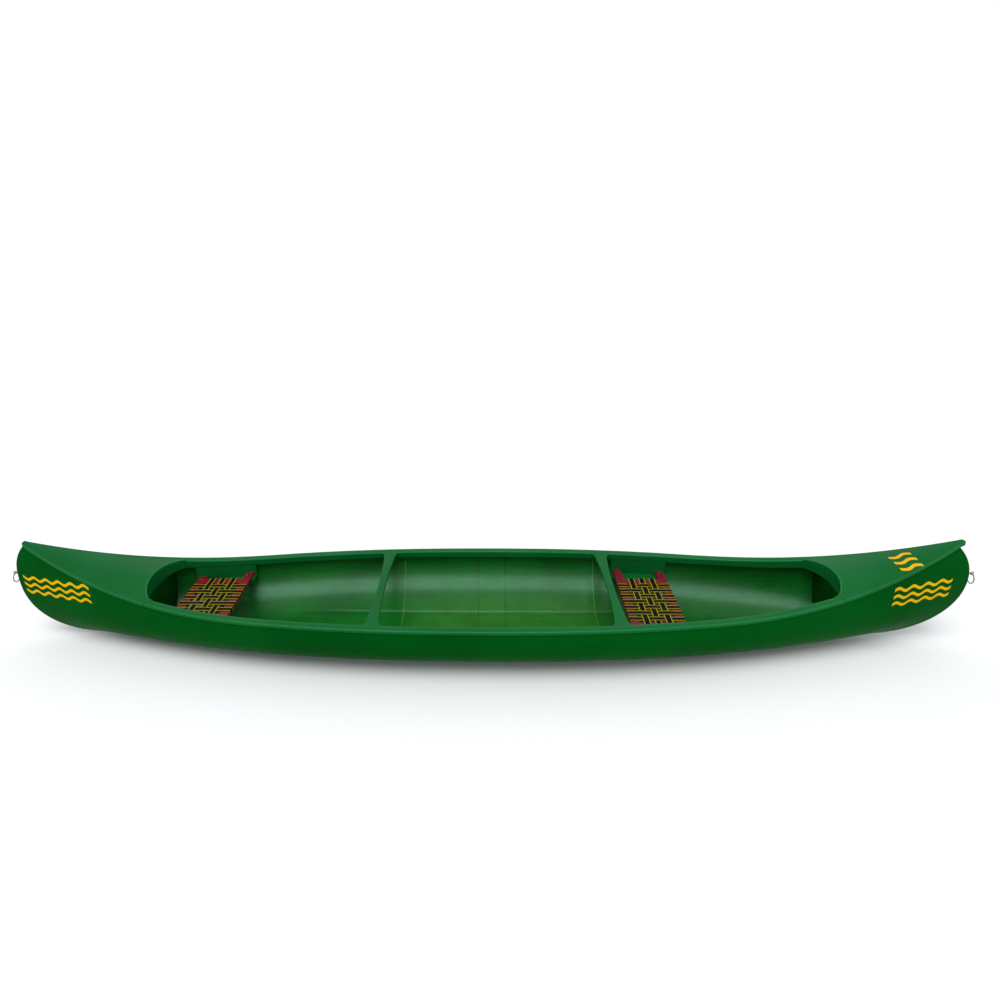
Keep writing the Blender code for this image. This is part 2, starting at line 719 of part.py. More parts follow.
def lathe(profile, segments, centre):
    """Turns (radius, height) points round Z. Points with no radius close it."""
    bm = bmesh.new()
    rings = []
    for radius, height in profile:
        if radius == 0:
            rings.append([bm.verts.new(centre + Vector((0, 0, height)))])
            continue
        angles = [2 * math.pi * k / segments for k in range(segments)]
        rings.append([bm.verts.new(centre + Vector((radius * math.cos(a), radius * math.sin(a), height)))
                      for a in angles])
    pairs = list(zip(rings, rings[1:]))
    if len(rings[0]) > 1:
        pairs.append((rings[-1], rings[0]))
    for before, after in pairs:
        for k in range(segments):
            spots = [before[k % len(before)], before[(k + 1) % len(before)],
                     after[(k + 1) % len(after)], after[k % len(after)]]
            bm.faces.new(list(dict.fromkeys(spots)))
    return bm


def make_fasteners(seat_name, seat):
    top = seat["top"]
    under = top - SEAT_THICK - GAP - CAP_SKIN - 0.001
    stub = under - top - 0.008
    r, head = SCREW_RADIUS, SCREW_HEAD
    bore = r + SCREW_PLAY
    screw = [(0, stub), (r, stub), (r, 0.0003), (head, 0.0003), (head, 0.0012), (head * 0.72, 0.0030),
             (0, 0.0036)]
    nut = [(bore, -0.006), (0.0055, -0.006), (0.0060, -0.0012), (0.0075, -0.0012), (0.0075, 0), (bore, 0)]
    for side, side_name in ((1, "port"), (-1, "starboard")):
        for (x, y), end in zip(seat["screws"], ("aft", "fore")):
            place = f"{seat_name}_{side_name}_{end}"
            add_object(f"{place}_screw", lathe(screw, 10, Vector((x, side * y, top))), STEEL, 0.25, 1.0)
            add_object(f"{place}_nut", lathe(nut, 10, Vector((x, side * y, under))), STEEL, 0.35, 1.0)


# ---------------------------------------------------------------- painter rings
def tube(path, radius, sides, closed):
    """A round bar along points in the XZ or YZ plane."""
    bm = bmesh.new()
    rings = []
    count = len(path)
    for k, point in enumerate(path):
        before = path[(k - 1) % count] if closed or k else point
        after = path[(k + 1) % count] if closed or k < count - 1 else point
        run = (after - before).normalized()
        flat = Vector((0, 1, 0)) if abs(run.y) < 1e-6 and not closed else None
        binormal = flat if flat is not None else Vector((1, 0, 0))
        normal = run.cross(binormal).normalized()
        ring = []
        for j in range(sides):
            angle = 2 * math.pi * j / sides
            away = normal * math.cos(angle) + binormal * math.sin(angle)
            ring.append(bm.verts.new(point + away * radius))
        rings.append(ring)
    pairs = list(zip(rings, rings[1:])) + ([(rings[-1], rings[0])] if closed else [])
    for before, after in pairs:
        for j in range(sides):
            bm.faces.new((before[j], before[(j + 1) % sides], after[(j + 1) % sides], after[j]))
    if not closed:
        bm.faces.new(rings[0])
        bm.faces.new(rings[-1])
    return bm


def make_stem_fittings(end, name):
    eye = Vector((end * EYE_X, 0, EYE_Z))
    start = STEM_X + STEM_REACH - 0.050
    path = [Vector((end * start, 0, EYE_Z))]
    path.append(Vector((end * (EYE_X - EYE_RADIUS - 0.004), 0, EYE_Z)))
    for k in range(15):
        angle = math.radians(200 + 310 * k / 14)
        path.append(eye + Vector((end * EYE_RADIUS * math.cos(angle), 0, EYE_RADIUS * math.sin(angle))))
    add_object(f"{name}_stem_eye", tube(path, EYE_WIRE, 8, False), STEEL, 0.25, 1.0)
    hang = EYE_Z - EYE_RADIUS + EYE_WIRE + RING_WIRE + 0.0004
    centre = Vector((end * EYE_X, 0, hang - RING_RADIUS))
    circle = []
    for k in range(20):
        angle = 2 * math.pi * k / 20
        circle.append(centre + Vector((0, RING_RADIUS * math.cos(angle), RING_RADIUS * math.sin(angle))))
    bm = tube(circle, RING_WIRE, 8, True)
    pivot = Vector((end * EYE_X, 0, hang))
    bmesh.ops.translate(bm, vec=-pivot, verts=bm.verts)
    ring = add_object(f"{name}_ring", bm, STEEL, 0.25, 1.0)
    ring.location = pivot
    nut = [(EYE_WIRE + 0.0004, 0), (0.0055, 0), (0.0055, 0.005), (EYE_WIRE + 0.0004, 0.005)]
    bm = lathe(nut, 10, Vector((0, 0, 0)))
    seat = STEM_X + STEM_REACH - STEM_SOLID + STEM_NOSE
    turn = Matrix.Rotation(math.radians(-90 * end), 4, "Y")
    place = Matrix.Translation((end * (seat - 0.013), 0, EYE_Z))
    bmesh.ops.transform(bm, matrix=place @ turn, verts=bm.verts)
    add_object(f"{name}_stem_nut", bm, STEEL, 0.35, 1.0)


def main():
    clear_scene()
    columns = make_hull()
    make_gunwales()
    for end, name, coaming, bulkhead in ((1, "bow", BOW_COAMING, BOW_BULKHEAD),
                                         (-1, "stern", STERN_COAMING, STERN_BULKHEAD)):
        make_deck(end, f"{name}_deck", coaming)
        make_bulkhead(columns, end, f"{name}_bulkhead", bulkhead, coaming)
        make_stem_fittings(end, name)
    make_thwart("bow_thwart", BOW_THWART_X)
    make_thwart("stern_thwart", STERN_THWART_X)
    for name, seat in (("bow_seat", BOW_SEAT), ("stern_seat", STERN_SEAT)):
        make_brackets(name, seat)
        make_seat_frame(name, seat)
        make_straps(name, seat)
        make_fasteners(name, seat)


main()
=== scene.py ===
"""Looks of the open canoe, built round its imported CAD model.

Metres. X runs along the canoe with the bow at +X, Y to port, Z up, as in the CAD.
"""

import math

import bmesh
import bpy
from mathutils import Matrix, Vector


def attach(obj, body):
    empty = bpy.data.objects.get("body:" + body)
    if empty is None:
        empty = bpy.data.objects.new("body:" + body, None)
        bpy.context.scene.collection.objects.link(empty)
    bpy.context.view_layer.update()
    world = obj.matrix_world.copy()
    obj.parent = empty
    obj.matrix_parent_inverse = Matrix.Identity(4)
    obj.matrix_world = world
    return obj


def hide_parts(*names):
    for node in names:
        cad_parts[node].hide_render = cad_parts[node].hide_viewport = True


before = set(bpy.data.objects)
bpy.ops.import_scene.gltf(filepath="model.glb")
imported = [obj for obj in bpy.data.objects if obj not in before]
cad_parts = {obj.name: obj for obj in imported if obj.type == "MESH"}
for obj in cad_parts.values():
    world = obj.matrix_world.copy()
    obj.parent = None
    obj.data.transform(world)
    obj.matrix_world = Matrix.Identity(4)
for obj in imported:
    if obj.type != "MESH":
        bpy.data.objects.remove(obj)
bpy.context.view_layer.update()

# Plan and sheer: the outer edge of the gunwales and decks.
TIP_X = 2.500
BEAM = 0.904
NOSE_HALF = 0.016
NOSE_TIP = 0.010
PLAN_POWER = 2.3
SHEER_LOW = 0.326
SHEER_RISE = 0.2715
SHEER_FLAT = 1.15
SHEER_POWER = 2.37

# Hull shell. CENTRE_RIB and BILGE_RIB are the distances from midship where a rib starts to fade
# and where it is gone.
SKIN = 0.005
HULL_INSET = 0.0065
HULL_TOP_DROP = 0.0075
KEEL_DEPTH = 0.006
ROCKER_FLAT = 0.45
ROCKER_POWER = 2.2
STEM_X = 2.08
STEM_REACH = 0.492
STEM_Z = 0.37
STEM_UPPER = 0.323
BOW, STERN = 1, -1
ROCKER = {BOW: 0.030, STERN: 0.018}
STEM_POWER = {BOW: 2.1, STERN: 2.4}
STEM_HALF = 0.0108
STEM_NOSE = 0.006
STEM_SOLID = 0.025
STEM_BLEND = 0.5
SECTION_POWER_MID = 3.2
SECTION_POWER_LOSS = 1.2
SIDE_POWER = 2.3
FLOOR_SHARE = 0.70
RIB_HALF = 0.010
RIB_FLANK = 0.006
BILGE_RIB_Y = 0.210
CENTRE_RIB = (1.55, 2.00)
BILGE_RIB = (0.45, 1.30)
GROOVE = 0.004
HALF_STATIONS = 70
BILGE_COLUMNS = 26
NOSE_STEPS = 6

# Gunwale caps.
CAP_WIDTH = 0.046
CAP_SKIN = 0.0048
CAP_ROUND = 0.004
CAP_SOFT = 0.0055
CAP_CROWN = 0.0008
LIP = 0.018
WALL_MID = 0.036
WALL_END = 0.044
WALL_DEEPENS = (1.35, 1.70)
GAP = 0.0004
SEAM_GAP = 0.0006
GUNWALE_STATIONS = 168
SOFT_FADE = 0.15

# Decks. A coaming is (outer edge, centre) as distances from midship, and its seam with the
# gunwale slants back towards midship across the cap. The coaming's bead is flat for COAMING_FLAT
# points at each end of its line, then rises over COAMING_EASE more.
COAMING = {BOW: (1.849, 1.900), STERN: (1.746, 1.808)}
SEAM_SLANT = 0.038
SEAM_FADE = 0.128
COAMING_WALL = 0.052
COAMING_PROFILE = ((0.0015, 0.0018), (0.003, 0.0030), (0.0045, 0.0032), (0.006, 0.0026),
                   (0.0074, 0.0012), (0.0082, -0.0010), (0.0086, -0.0040))
COAMING_FLAT, COAMING_EASE = 3, 7
COAMING_LEAST = 0.03
DECK_ROLL = ((0.38, 0.08), (0.71, 0.29), (0.92, 0.62), (1, 1))
DECK_CROWN = 0.018
DECK_NOSE = {BOW: 0.012, STERN: 0.0}
DECK_STATIONS = 46
NOSE_FROM = 0.98

# Thwarts.
THWARTS = {"bow": 0.725, "stern": -0.523}
THWART_HALF = 0.0195
THWART_THICK = 0.022
THWART_DROP = 0.001
THWART_SPREAD = 0.0165
THWART_FLARE = 0.014
THWART_FLARE_FROM = 0.88
THWART_ROUND = 0.005

# Seats: outer x edges, top height, rail width, the window's ends and the crosspieces' outer edges,
# the fore-and-aft straps (rows), the spacing of both sets, the shelf's reach beside the window, the
# screws' (x, y).
SEAT_THICK = 0.020
SEAT_END_GAP = 0.0025
SEAT_EDGE = 0.0022
WINDOW_ROUND = 0.009
SEATS = {
    "bow": dict(x0=0.803, x1=1.089, top=0.228, rail=0.045, cross_in=0.205, cross_out=0.251,
                rows=7, row_pitch=0.0575, column_pitch=0.058, shelf=0.062,
                screws=((0.831, 0.341), (1.066, 0.320))),
    "stern": dict(x0=-1.651, x1=-1.338, top=0.247, rail=0.048, cross_in=0.165, cross_out=0.215,
                  rows=5, row_pitch=0.0627, column_pitch=0.062, shelf=0.034,
                  screws=((-1.628, 0.206), (-1.371, 0.257))),
}
COLUMNS_PER_SEAT = 3
WEB_WIDTH = 0.038
WEB_THICK = 0.0015
WEB_LEVEL = 0.0009
WEB_TURN = 0.0034
WEB_EASE = 0.006
WEB_LIFT = 0.0003
WEB_TAIL = 0.008
WEB_HOLD = 0.0012
WEB_START = 0.012
SHELF_OUT = 0.062
SHELF_APRON = 0.034
SHELF_RECESS = 0.007
SHELF_STEP = 0.007
SHELF_MARGIN = 0.012
BRACKET_GAP = 0.003
SCREW_RADIUS = 0.003
SCREW_HEAD = 0.0065
SCREW_TAIL = 0.009
HEAD_RIM = 0.0012
HEAD_RISE = 0.0024

# Painter rings and their eyes. EYE_TURN is the angle at which the eye's bar starts and how far it turns.
RING_RADIUS = 0.027
RING_WIRE = 0.003
EYE_RADIUS = 0.008
EYE_WIRE = 0.0025
EYE_X = 2.592
EYE_Z = 0.406
EYE_SHANK = 0.050
EYE_NECK = 0.004
EYE_TURN = (200, 310)

# Colours, as (darker, lighter) pairs where a cloud mixes them, and how strongly each look shines.
GREEN_HULL = ((0.0001, 0.062, 0.005), (0.0002, 0.080, 0.007))
# The next green is the hull green made lighter for the decks, gunwale caps, thwarts and seat shelves: painted
# light on the upper parts.
GREEN_TOP_PAINTED_LIGHT = ((0.0020, 0.096, 0.017), (0.0040, 0.114, 0.024))
# The next green is lighter still, for rounded edges: a painted highlight line along them.
GREEN_EDGE_PAINTED_HIGHLIGHT = ((0.006, 0.135, 0.028), (0.009, 0.158, 0.035))
GREEN_INSIDE = ((0.0002, 0.078, 0.004), (0.0005, 0.122, 0.009))
# The next green, darker, is for the bulkheads: painted shade under the decks.
GREEN_BULKHEAD_PAINTED_SHADE = ((0.0003, 0.032, 0.0015), (0.0005, 0.052, 0.003))
# The next green is a lighter, yellower pool on the inner floor: painted light.
GREEN_FLOOR_PAINTED_LIGHT = (0.034, 0.165, 0.017)
SCUFFED = (0.010, 0.085, 0.022)
LAP_LIGHT = (0.070, 0.230, 0.035)
LAP_DARK = (0.0003, 0.050, 0.004)
YELLOW = (0.72, 0.40, 0.003)
RED = ((0.115, 0.004, 0.010), (0.190, 0.010, 0.022))
RED_FLECK = (0.22, 0.06, 0.04)
RED_RUBBED = (0.24, 0.05, 0.04)
WEB_BLACK = ((0.0025, 0.0025, 0.003), (0.009, 0.0085, 0.008))
WEB_YELLOW = ((0.20, 0.155, 0.002), (0.46, 0.36, 0.006))
STEEL = ((0.17, 0.17, 0.165), (0.32, 0.32, 0.31))
PALE = ((0.83, 0.83, 0.83), (0.86, 0.86, 0.86))
SHINE_HULL, SHINE_TOP, SHINE_EDGE, SHINE_INSIDE = 0.006, 0.06, 0.12, 0.36
SHINE_DARK, SHINE_WOOD, SHINE_WEB, SHINE_FLOOR = 0.04, 0.18, 0.08, 0.1

# Plain wavy lines in place of lettering. A mark is (centre, slope, length, gap between its lines),
# with the centre as (x, z), or as (x, y) where it lies on a deck.
WAVE_PITCH = 0.085
WAVE_HEIGHT = 0.009
WAVE_LINE = 0.40
WAVE_BLUR = 0.0006
SIDE_MARKS = [((-2.310, 0.353), 0.03, 0.45, 0.042), ((2.302, 0.348), 0.02, 0.34, 0.041)]
DECK_MARKS = [((2.225, -0.024), 0.0, 0.10, 0.058, "Y")]

# Pattern of the laminate's inner face and of the webbing.
CLOTH_PITCH = 0.006
LAPS = ((-0.44, LAP_LIGHT), (0.005, LAP_DARK), (0.165, LAP_DARK), (0.69, LAP_LIGHT))
# Centre along X of the painted pool of light on the inner floor.
LIT_CENTRE = 0.20
STRIPE = (0.0125, 0.0175)
STRIPE_BLUR = 0.0003
WEB_RIB = 0.0016
WEB_TWILL = 0.0022

# Camera.
CAMERA_PLACE = (0.0643, -3.3754, 2.2788)
CAMERA_YAW, CAMERA_PITCH, CAMERA_ROLL = 0.0582, 0.4032, -0.0274
CAMERA_LENS = 25.447
CAMERA_SHIFT_X = 0.05

# Studio light.
SKY = 0.78
KEY = 1.75
KEY_WAY = (0.12, 0.38, -0.92)
GLOSS = 1.6
GLOSS_WAY = (0.16, 0.70, -0.70)
GLOSS_TINT = (0.62, 1.0, 0.88)
LIGHT_SPREAD = 42
SKY_TINT = (0.95, 0.98, 1.0, 1.0)
BACKDROP = 1.0
FLOOR_SIZE = 60.0


# -------- lines of the canoe
def smooth(value):
    value = min(1.0, max(0.0, value))
    return value * value * (3 - 2 * value)


def rim_half(x):
    """Half-breadth of the outer gunwale edge."""
    share = min(1.0, abs(x) / TIP_X)
    return (BEAM / 2 - NOSE_HALF) * (1 - share**PLAN_POWER) + NOSE_HALF


def rim_slope(x):
    """How fast rim_half changes with x."""
    share = min(1.0, abs(x) / TIP_X)
    steep = (BEAM / 2 - NOSE_HALF) * PLAN_POWER / TIP_X * share ** (PLAN_POWER - 1)
    return -math.copysign(steep, x)


def sheer(x):
    """Height of the gunwale's top."""
    along = max(0.0, (abs(x) - SHEER_FLAT) / (TIP_X - SHEER_FLAT))
    return SHEER_LOW + SHEER_RISE * along**SHEER_POWER


def rim_point(x, side, inward, drop):
    """A point a distance inward from the outer edge, square to it in plan."""
    slope = rim_slope(x)
    stretch = math.hypot(1, slope)
    return Vector((x + inward * slope / stretch, side * (rim_half(x) - inward / stretch), sheer(x) - drop))


def seam_point(x, side, inward, drop):
    """The same distance inward from the outer edge, met on the cross-section at x."""
    return Vector((x, side * (rim_half(x) - inward * math.hypot(1, rim_slope(x))), sheer(x) - drop))


def inner_edge(x, extra=0.0):
    """Half-breadth at a distance inside the gunwale's inner face, for pieces cut square to X."""
    return rim_half(x) - (CAP_WIDTH + extra) * math.hypot(1, rim_slope(x))


def wall_depth(x):
    """How far the gunwale's inner wall hangs below its top."""
    start, end = WALL_DEEPENS
    return WALL_MID + (WALL_END - WALL_MID) * smooth((abs(x) - start) / (end - start))


def rocker(x):
    """Height of the ribs' flat lower faces."""
    along = max(0.0, (abs(x) - ROCKER_FLAT) / (STEM_X - ROCKER_FLAT))
    return ROCKER[BOW if x >= 0 else STERN] * along**ROCKER_POWER


def signed_power(value, power):
    return math.copysign(abs(value) ** power, value)


def stem_point(angle, end):
    """The stem's profile, a rounded arc. Angle 0 is its foot."""
    reach = STEM_REACH * signed_power(math.sin(angle), 2 / STEM_POWER[end])
    height = signed_power(-math.cos(angle), 2 / STEM_POWER[end])
    foot = STEM_Z - KEEL_DEPTH - rocker(end * STEM_X)
    return STEM_X + reach, STEM_Z + height * (foot if height < 0 else STEM_UPPER)


def stem_sweep(end):
    """The angle at which the stem's profile meets the underside of the deck."""
    low, high = math.pi / 2, math.pi
    for _ in range(60):
        middle = (low + high) / 2
        x, z = stem_point(middle, end)
        if z < sheer(x) - HULL_TOP_DROP:
            low = middle
        else:
            high = middle
    return low


# -------- hull surface
class Column:
    """One line of the hull, running from stem to stem at its own place on the girth."""

    def __init__(self, floor=None, bilge=None):
        self.floor, self.bilge = floor, bilge
        self.y0, self.z0 = self.section(0.0)
        self.ends = {}

    def end(self, s):
        return self.ends[BOW if s >= 0 else STERN]

    def section(self, x):
        """Half-breadth and height on the cross-section at x, without the ribs."""
        half = rim_half(x) - HULL_INSET * math.hypot(1, rim_slope(x))
        top = sheer(x) - HULL_TOP_DROP
        depth = top - KEEL_DEPTH - rocker(x)
        power = SECTION_POWER_MID - SECTION_POWER_LOSS * (x / TIP_X) ** 2
        widest = BILGE_RIB_Y + RIB_HALF + RIB_FLANK
        squeeze = (1 + (widest / (FLOOR_SHARE * half)) ** 8) ** (-1 / 8)
        if self.floor is not None:
            y = self.floor * squeeze
            return y, top - depth * (1 - (y / half) ** power) ** (1 / SIDE_POWER)
        start = math.asin((widest * squeeze / half) ** (power / 2))
        angle = start + (math.pi / 2 - start) * self.bilge
        y = half * math.sin(angle) ** (2 / power)
        return y, top - depth * max(0.0, math.cos(angle)) ** (2 / SIDE_POWER)

    def skin(self, s):
        """Outer skin at s, from -1 at the stern's stem to 1 at the bow's."""
        end_x, end_z = self.end(s)
        x = s * end_x
        along = min(1.0, abs(s))
        fade = 1 - along**PLAN_POWER
        fan_y = STEM_HALF + (self.y0 - STEM_HALF) * fade
        climb = max(0.0, (along - SHEER_FLAT / TIP_X) / (1 - SHEER_FLAT / TIP_X))
        fan_z = self.z0 + (end_z - self.z0) * climb**SHEER_POWER
        y, z = self.section(x)
        if self.bilge == 1.0:
            return Vector((x, y + (fan_y - y) * along**10, z))
        blend = smooth((along - STEM_BLEND) / (1 - STEM_BLEND))
        return Vector((x, y + (fan_y - y) * blend, z + (fan_z - z) * blend))

    def rib_share(self, x):
        """1 on a rib's flat face, 0 off it, eased across its flanks and faded at its ends."""
        if self.floor is None:
            return 0.0
        centre = 1 - smooth((self.floor - RIB_HALF) / RIB_FLANK)
        bilge = 1 - smooth((abs(self.floor - BILGE_RIB_Y) - RIB_HALF) / RIB_FLANK)
        reach = CENTRE_RIB if centre > bilge else BILGE_RIB
        return max(centre, bilge) * (1 - smooth((abs(x) - reach[0]) / (reach[1] - reach[0])))


def floor_lines():
    """Distances from the centre plane of the lines along the floor, closer together at the ribs."""
    flank = [RIB_FLANK * k / 6 for k in range(7)]
    lines = [0.004] + [RIB_HALF + f for f in flank]
    lines += [0.024, 0.036, 0.05, 0.065, 0.08, 0.096, 0.112, 0.128, 0.145, 0.16, 0.174, 0.186]
    lines += [BILGE_RIB_Y - RIB_HALF - f for f in reversed(flank)]
    lines += [BILGE_RIB_Y] + [BILGE_RIB_Y + RIB_HALF + f for f in flank]
    return lines


def hull_columns():
    columns = [Column(floor=y) for y in floor_lines()]
    columns += [Column(bilge=(k + 1) / BILGE_COLUMNS) for k in range(BILGE_COLUMNS)]
    lengths = [0.0]
    for before, after in zip(columns, columns[1:]):
        lengths.append(lengths[-1] + math.hypot(after.y0 - before.y0, after.z0 - before.z0))
    for end in (BOW, STERN):
        sweep = stem_sweep(end)
        for column, length in zip(columns, lengths):
            column.ends[end] = stem_point(sweep * length / lengths[-1], end)
    return columns


def hull_outer(columns, index, s):
    column = columns[index]
    point = column.skin(s)
    point.z += (rocker(point.x) - point.z) * column.rib_share(point.x)
    return point


def hull_inner(columns, index, s):
    """The inner skin: the outer one moved in along its normal, with shallow grooves at the ribs."""
    column = columns[index]
    s = s * (1 - STEM_SOLID / column.end(s)[0])
    step = 0.004
    along = column.skin(min(1.0, s + step)) - column.skin(max(-1.0, s - step))
    below = columns[max(0, index - 1)].skin(s)
    above = columns[min(len(columns) - 1, index + 1)].skin(s)
    normal = along.cross(above - below).normalized()
    if index == 0:
        normal = Vector((0, 0, 1))
    if index == len(columns) - 1:
        normal.z = 0
        normal.normalize()
    if normal.dot(Vector((0, -1, 1))) < 0:
        normal.negate()
    point = column.skin(s) + normal * SKIN
    point.z -= GROOVE * column.rib_share(point.x)
    return point


# -------- node materials
def node(tree, kind, inputs=None, **settings):
    made = tree.nodes.new(kind)
    for key, value in settings.items():
        setattr(made, key, value)
    for key, value in (inputs or {}).items():
        if isinstance(value, bpy.types.NodeSocket):
            tree.links.new(value, made.inputs[key])
        else:
            made.inputs[key].default_value = value
    return made


def calc(tree, operation, *values):
    return node(tree, "ShaderNodeMath", dict(enumerate(values)), operation=operation).outputs[0]


def ramp(tree, value, low, high, to_low=0.0, to_high=1.0):
    """value from low..high mapped to to_low..to_high, eased and clamped."""
    return node(tree, "ShaderNodeMapRange", {0: value, 1: low, 2: high, 3: to_low, 4: to_high},
                interpolation_type="SMOOTHSTEP").outputs[0]


def mix_colour(tree, factor, first, second):
    made = node(tree, "ShaderNodeMix", data_type="RGBA")
    for key, value in ((0, factor), (6, first), (7, second)):
        if isinstance(value, bpy.types.NodeSocket):
            tree.links.new(value, made.inputs[key])
        else:
            made.inputs[key].default_value = (*value, 1.0) if isinstance(value, tuple) else value
    return made.outputs[2]


def noise(tree, coordinates, scale, detail, stretch=None, roughness=0.5):
    if stretch:
        coordinates = node(tree, "ShaderNodeMapping", {"Vector": coordinates, "Scale": stretch}).outputs[0]
    return node(tree, "ShaderNodeTexNoise",
                {"Vector": coordinates, "Scale": scale, "Detail": detail, "Roughness": roughness}).outputs[0]


def bump(tree, height, strength, distance, under=None):
    inputs = {"Height": height, "Strength": strength, "Distance": distance}
    if under is not None:
        inputs["Normal"] = under
    return node(tree, "ShaderNodeBump", inputs).outputs[0]


def surface(name):
    """A new node material: (material, tree, its shader, object coordinates)."""
    made = bpy.data.materials.new(name)
    made.use_nodes = True
    tree = made.node_tree
    shader = tree.nodes["Principled BSDF"]
    place = node(tree, "ShaderNodeTexCoord").outputs["Object"]
    return made, tree, shader, place


def plug(tree, shader, **inputs):
    for key, value in inputs.items():
        socket = shader.inputs[key.replace("_", " ")]
        if isinstance(value, bpy.types.NodeSocket):
            tree.links.new(value, socket)
        elif isinstance(value, tuple):
            socket.default_value = (*value, 1.0)
        else:
            socket.default_value = value


def wave_mark(tree, place, centre, slope, length, gap_between, across="Z"):
    """A mask of three plain wavy lines side by side, centred on (x, z), or on (x, y) across Y."""
    split = node(tree, "ShaderNodeSeparateXYZ", {0: place})
    run = calc(tree, "SUBTRACT", split.outputs["X"], centre[0])
    rise = calc(tree, "SUBTRACT", split.outputs[across], centre[1])
    rise = calc(tree, "SUBTRACT", rise, calc(tree, "MULTIPLY", run, slope))
    swing = calc(tree, "SINE", calc(tree, "MULTIPLY", run, 2 * math.pi / WAVE_PITCH))
    wave = calc(tree, "MULTIPLY", swing, WAVE_HEIGHT)
    level = calc(tree, "SUBTRACT", rise, wave)
    inside = calc(tree, "LESS_THAN", calc(tree, "ABSOLUTE", run), length / 2)
    near = None
    for row in (-1, 0, 1):
        gap = calc(tree, "ABSOLUTE", calc(tree, "SUBTRACT", level, row * gap_between))
        half = gap_between * WAVE_LINE / 2
        line = ramp(tree, gap, half - WAVE_BLUR, half + WAVE_BLUR, 1.0, 0.0)
        near = line if near is None else calc(tree, "MAXIMUM", near, line)
    return calc(tree, "MULTIPLY", near, inside)


def gelcoat(name, tints, shine, marks=()):
    """Polished outer laminate: deep even colour, faint orange peel, light scuffs low down."""
    made, tree, shader, place = surface(name)
    cloud = noise(tree, place, 1.7, 4.0)
    colour = mix_colour(tree, ramp(tree, cloud, 0.35, 0.7), *tints)
    height = node(tree, "ShaderNodeSeparateXYZ", {0: place}).outputs["Z"]
    streak = noise(tree, place, 9.0, 5.0, (0.6, 5.0, 14.0), 0.6)
    scuff = calc(tree, "MULTIPLY", ramp(tree, streak, 0.62, 0.74), ramp(tree, height, 0.16, 0.02))
    colour = mix_colour(tree, calc(tree, "MULTIPLY", scuff, 0.3), colour, SCUFFED)
    rough = ramp(tree, noise(tree, place, 6.0, 4.0), 0.3, 0.75, 0.16, 0.27)
    rough = calc(tree, "ADD", rough, calc(tree, "MULTIPLY", scuff, 0.25))
    for mark in marks:
        mask = wave_mark(tree, place, *mark)
        colour = mix_colour(tree, mask, colour, YELLOW)
        rough = calc(tree, "MAXIMUM", rough, calc(tree, "MULTIPLY", mask, 0.4))
    peel = noise(tree, place, 160.0, 2.0)
    swell = noise(tree, place, 7.0, 2.0)
    normal = bump(tree, peel, 0.25, 0.0002, bump(tree, swell, 0.35, 0.0016))
    plug(tree, shader, Base_Color=colour, Roughness=rough, Normal=normal, Specular_IOR_Level=shine)
    return made


def laminate_inside(name):
    """The moulding's inner face: brushed resin over cloth, with the overlaps between its cloths, and a
    lighter, yellower pool of painted light on the middle of the floor.
    """
    made, tree, shader, place = surface(name)
    split = node(tree, "ShaderNodeSeparateXYZ", {0: place})
    x, y, z = split.outputs["X"], split.outputs["Y"], split.outputs["Z"]
    cloud = noise(tree, place, 3.2, 5.0, None, 0.6)
    colour = mix_colour(tree, ramp(tree, cloud, 0.3, 0.72), *GREEN_INSIDE)
    # Painted light: a lighter, yellower pool low on the floor round LIT_CENTRE, standing in for light coming
    # through the hull.
    aside = calc(tree, "ABSOLUTE", calc(tree, "SUBTRACT", x, LIT_CENTRE))
    middle = calc(tree, "MULTIPLY", ramp(tree, aside, 0.85, 0.2), ramp(tree, z, 0.12, 0.02))
    painted_light_pool = calc(tree, "MULTIPLY", middle, ramp(tree, noise(tree, place, 5.0, 3.0), 0.25, 0.8, 0.35, 1.0))
    colour = mix_colour(tree, calc(tree, "MULTIPLY", painted_light_pool, 0.75), colour, GREEN_FLOOR_PAINTED_LIGHT)
    brush = noise(tree, place, 14.0, 4.0, (0.35, 3.0, 3.0), 0.65)
    warp, weft = (calc(tree, "SINE", calc(tree, "MULTIPLY", at, 2 * math.pi / CLOTH_PITCH)) for at in (x, y))
    cloth = calc(tree, "MULTIPLY", warp, weft)
    dimple = noise(tree, place, 70.0, 3.0, None, 0.6)
    height = calc(tree, "ADD", calc(tree, "MULTIPLY", dimple, 0.7), calc(tree, "MULTIPLY", cloth, 0.10))
    height = calc(tree, "ADD", height, calc(tree, "MULTIPLY", brush, 0.8))
    wander = calc(tree, "MULTIPLY", calc(tree, "SUBTRACT", brush, 0.5), 0.012)
    for lap, tint in LAPS:
        gap = calc(tree, "SUBTRACT", calc(tree, "ADD", x, wander), lap)
        height = calc(tree, "ADD", height, ramp(tree, gap, -0.0025, 0.0025, 0.0, 1.1))
        thread = ramp(tree, calc(tree, "ABSOLUTE", gap), 0.0012, 0.0045, 1.0, 0.0)
        thread = calc(tree, "MULTIPLY", thread, ramp(tree, cloud, 0.25, 0.7, 0.3, 0.9))
        colour = mix_colour(tree, thread, colour, tint)
    normal = bump(tree, height, 0.5, 0.0006)
    rough = ramp(tree, brush, 0.3, 0.75, 0.24, 0.36)
    plug(tree, shader, Base_Color=colour, Roughness=rough, Normal=normal,
         Specular_IOR_Level=SHINE_INSIDE)
    return made


# The bulkheads' green, darker than the inside laminate: painted shade under the decks.
def bulkhead_painted_shade(name):
    made, tree, shader, place = surface(name)
    colour = mix_colour(tree, noise(tree, place, 6.0, 4.0), *GREEN_BULKHEAD_PAINTED_SHADE)
    brush = noise(tree, place, 22.0, 4.0, (1.0, 0.6, 3.0))
    normal = bump(tree, brush, 0.4, 0.0008)
    plug(tree, shader, Base_Color=colour, Roughness=ramp(tree, brush, 0.3, 0.7, 0.3, 0.5), Normal=normal,
         Specular_IOR_Level=SHINE_DARK)
    return made


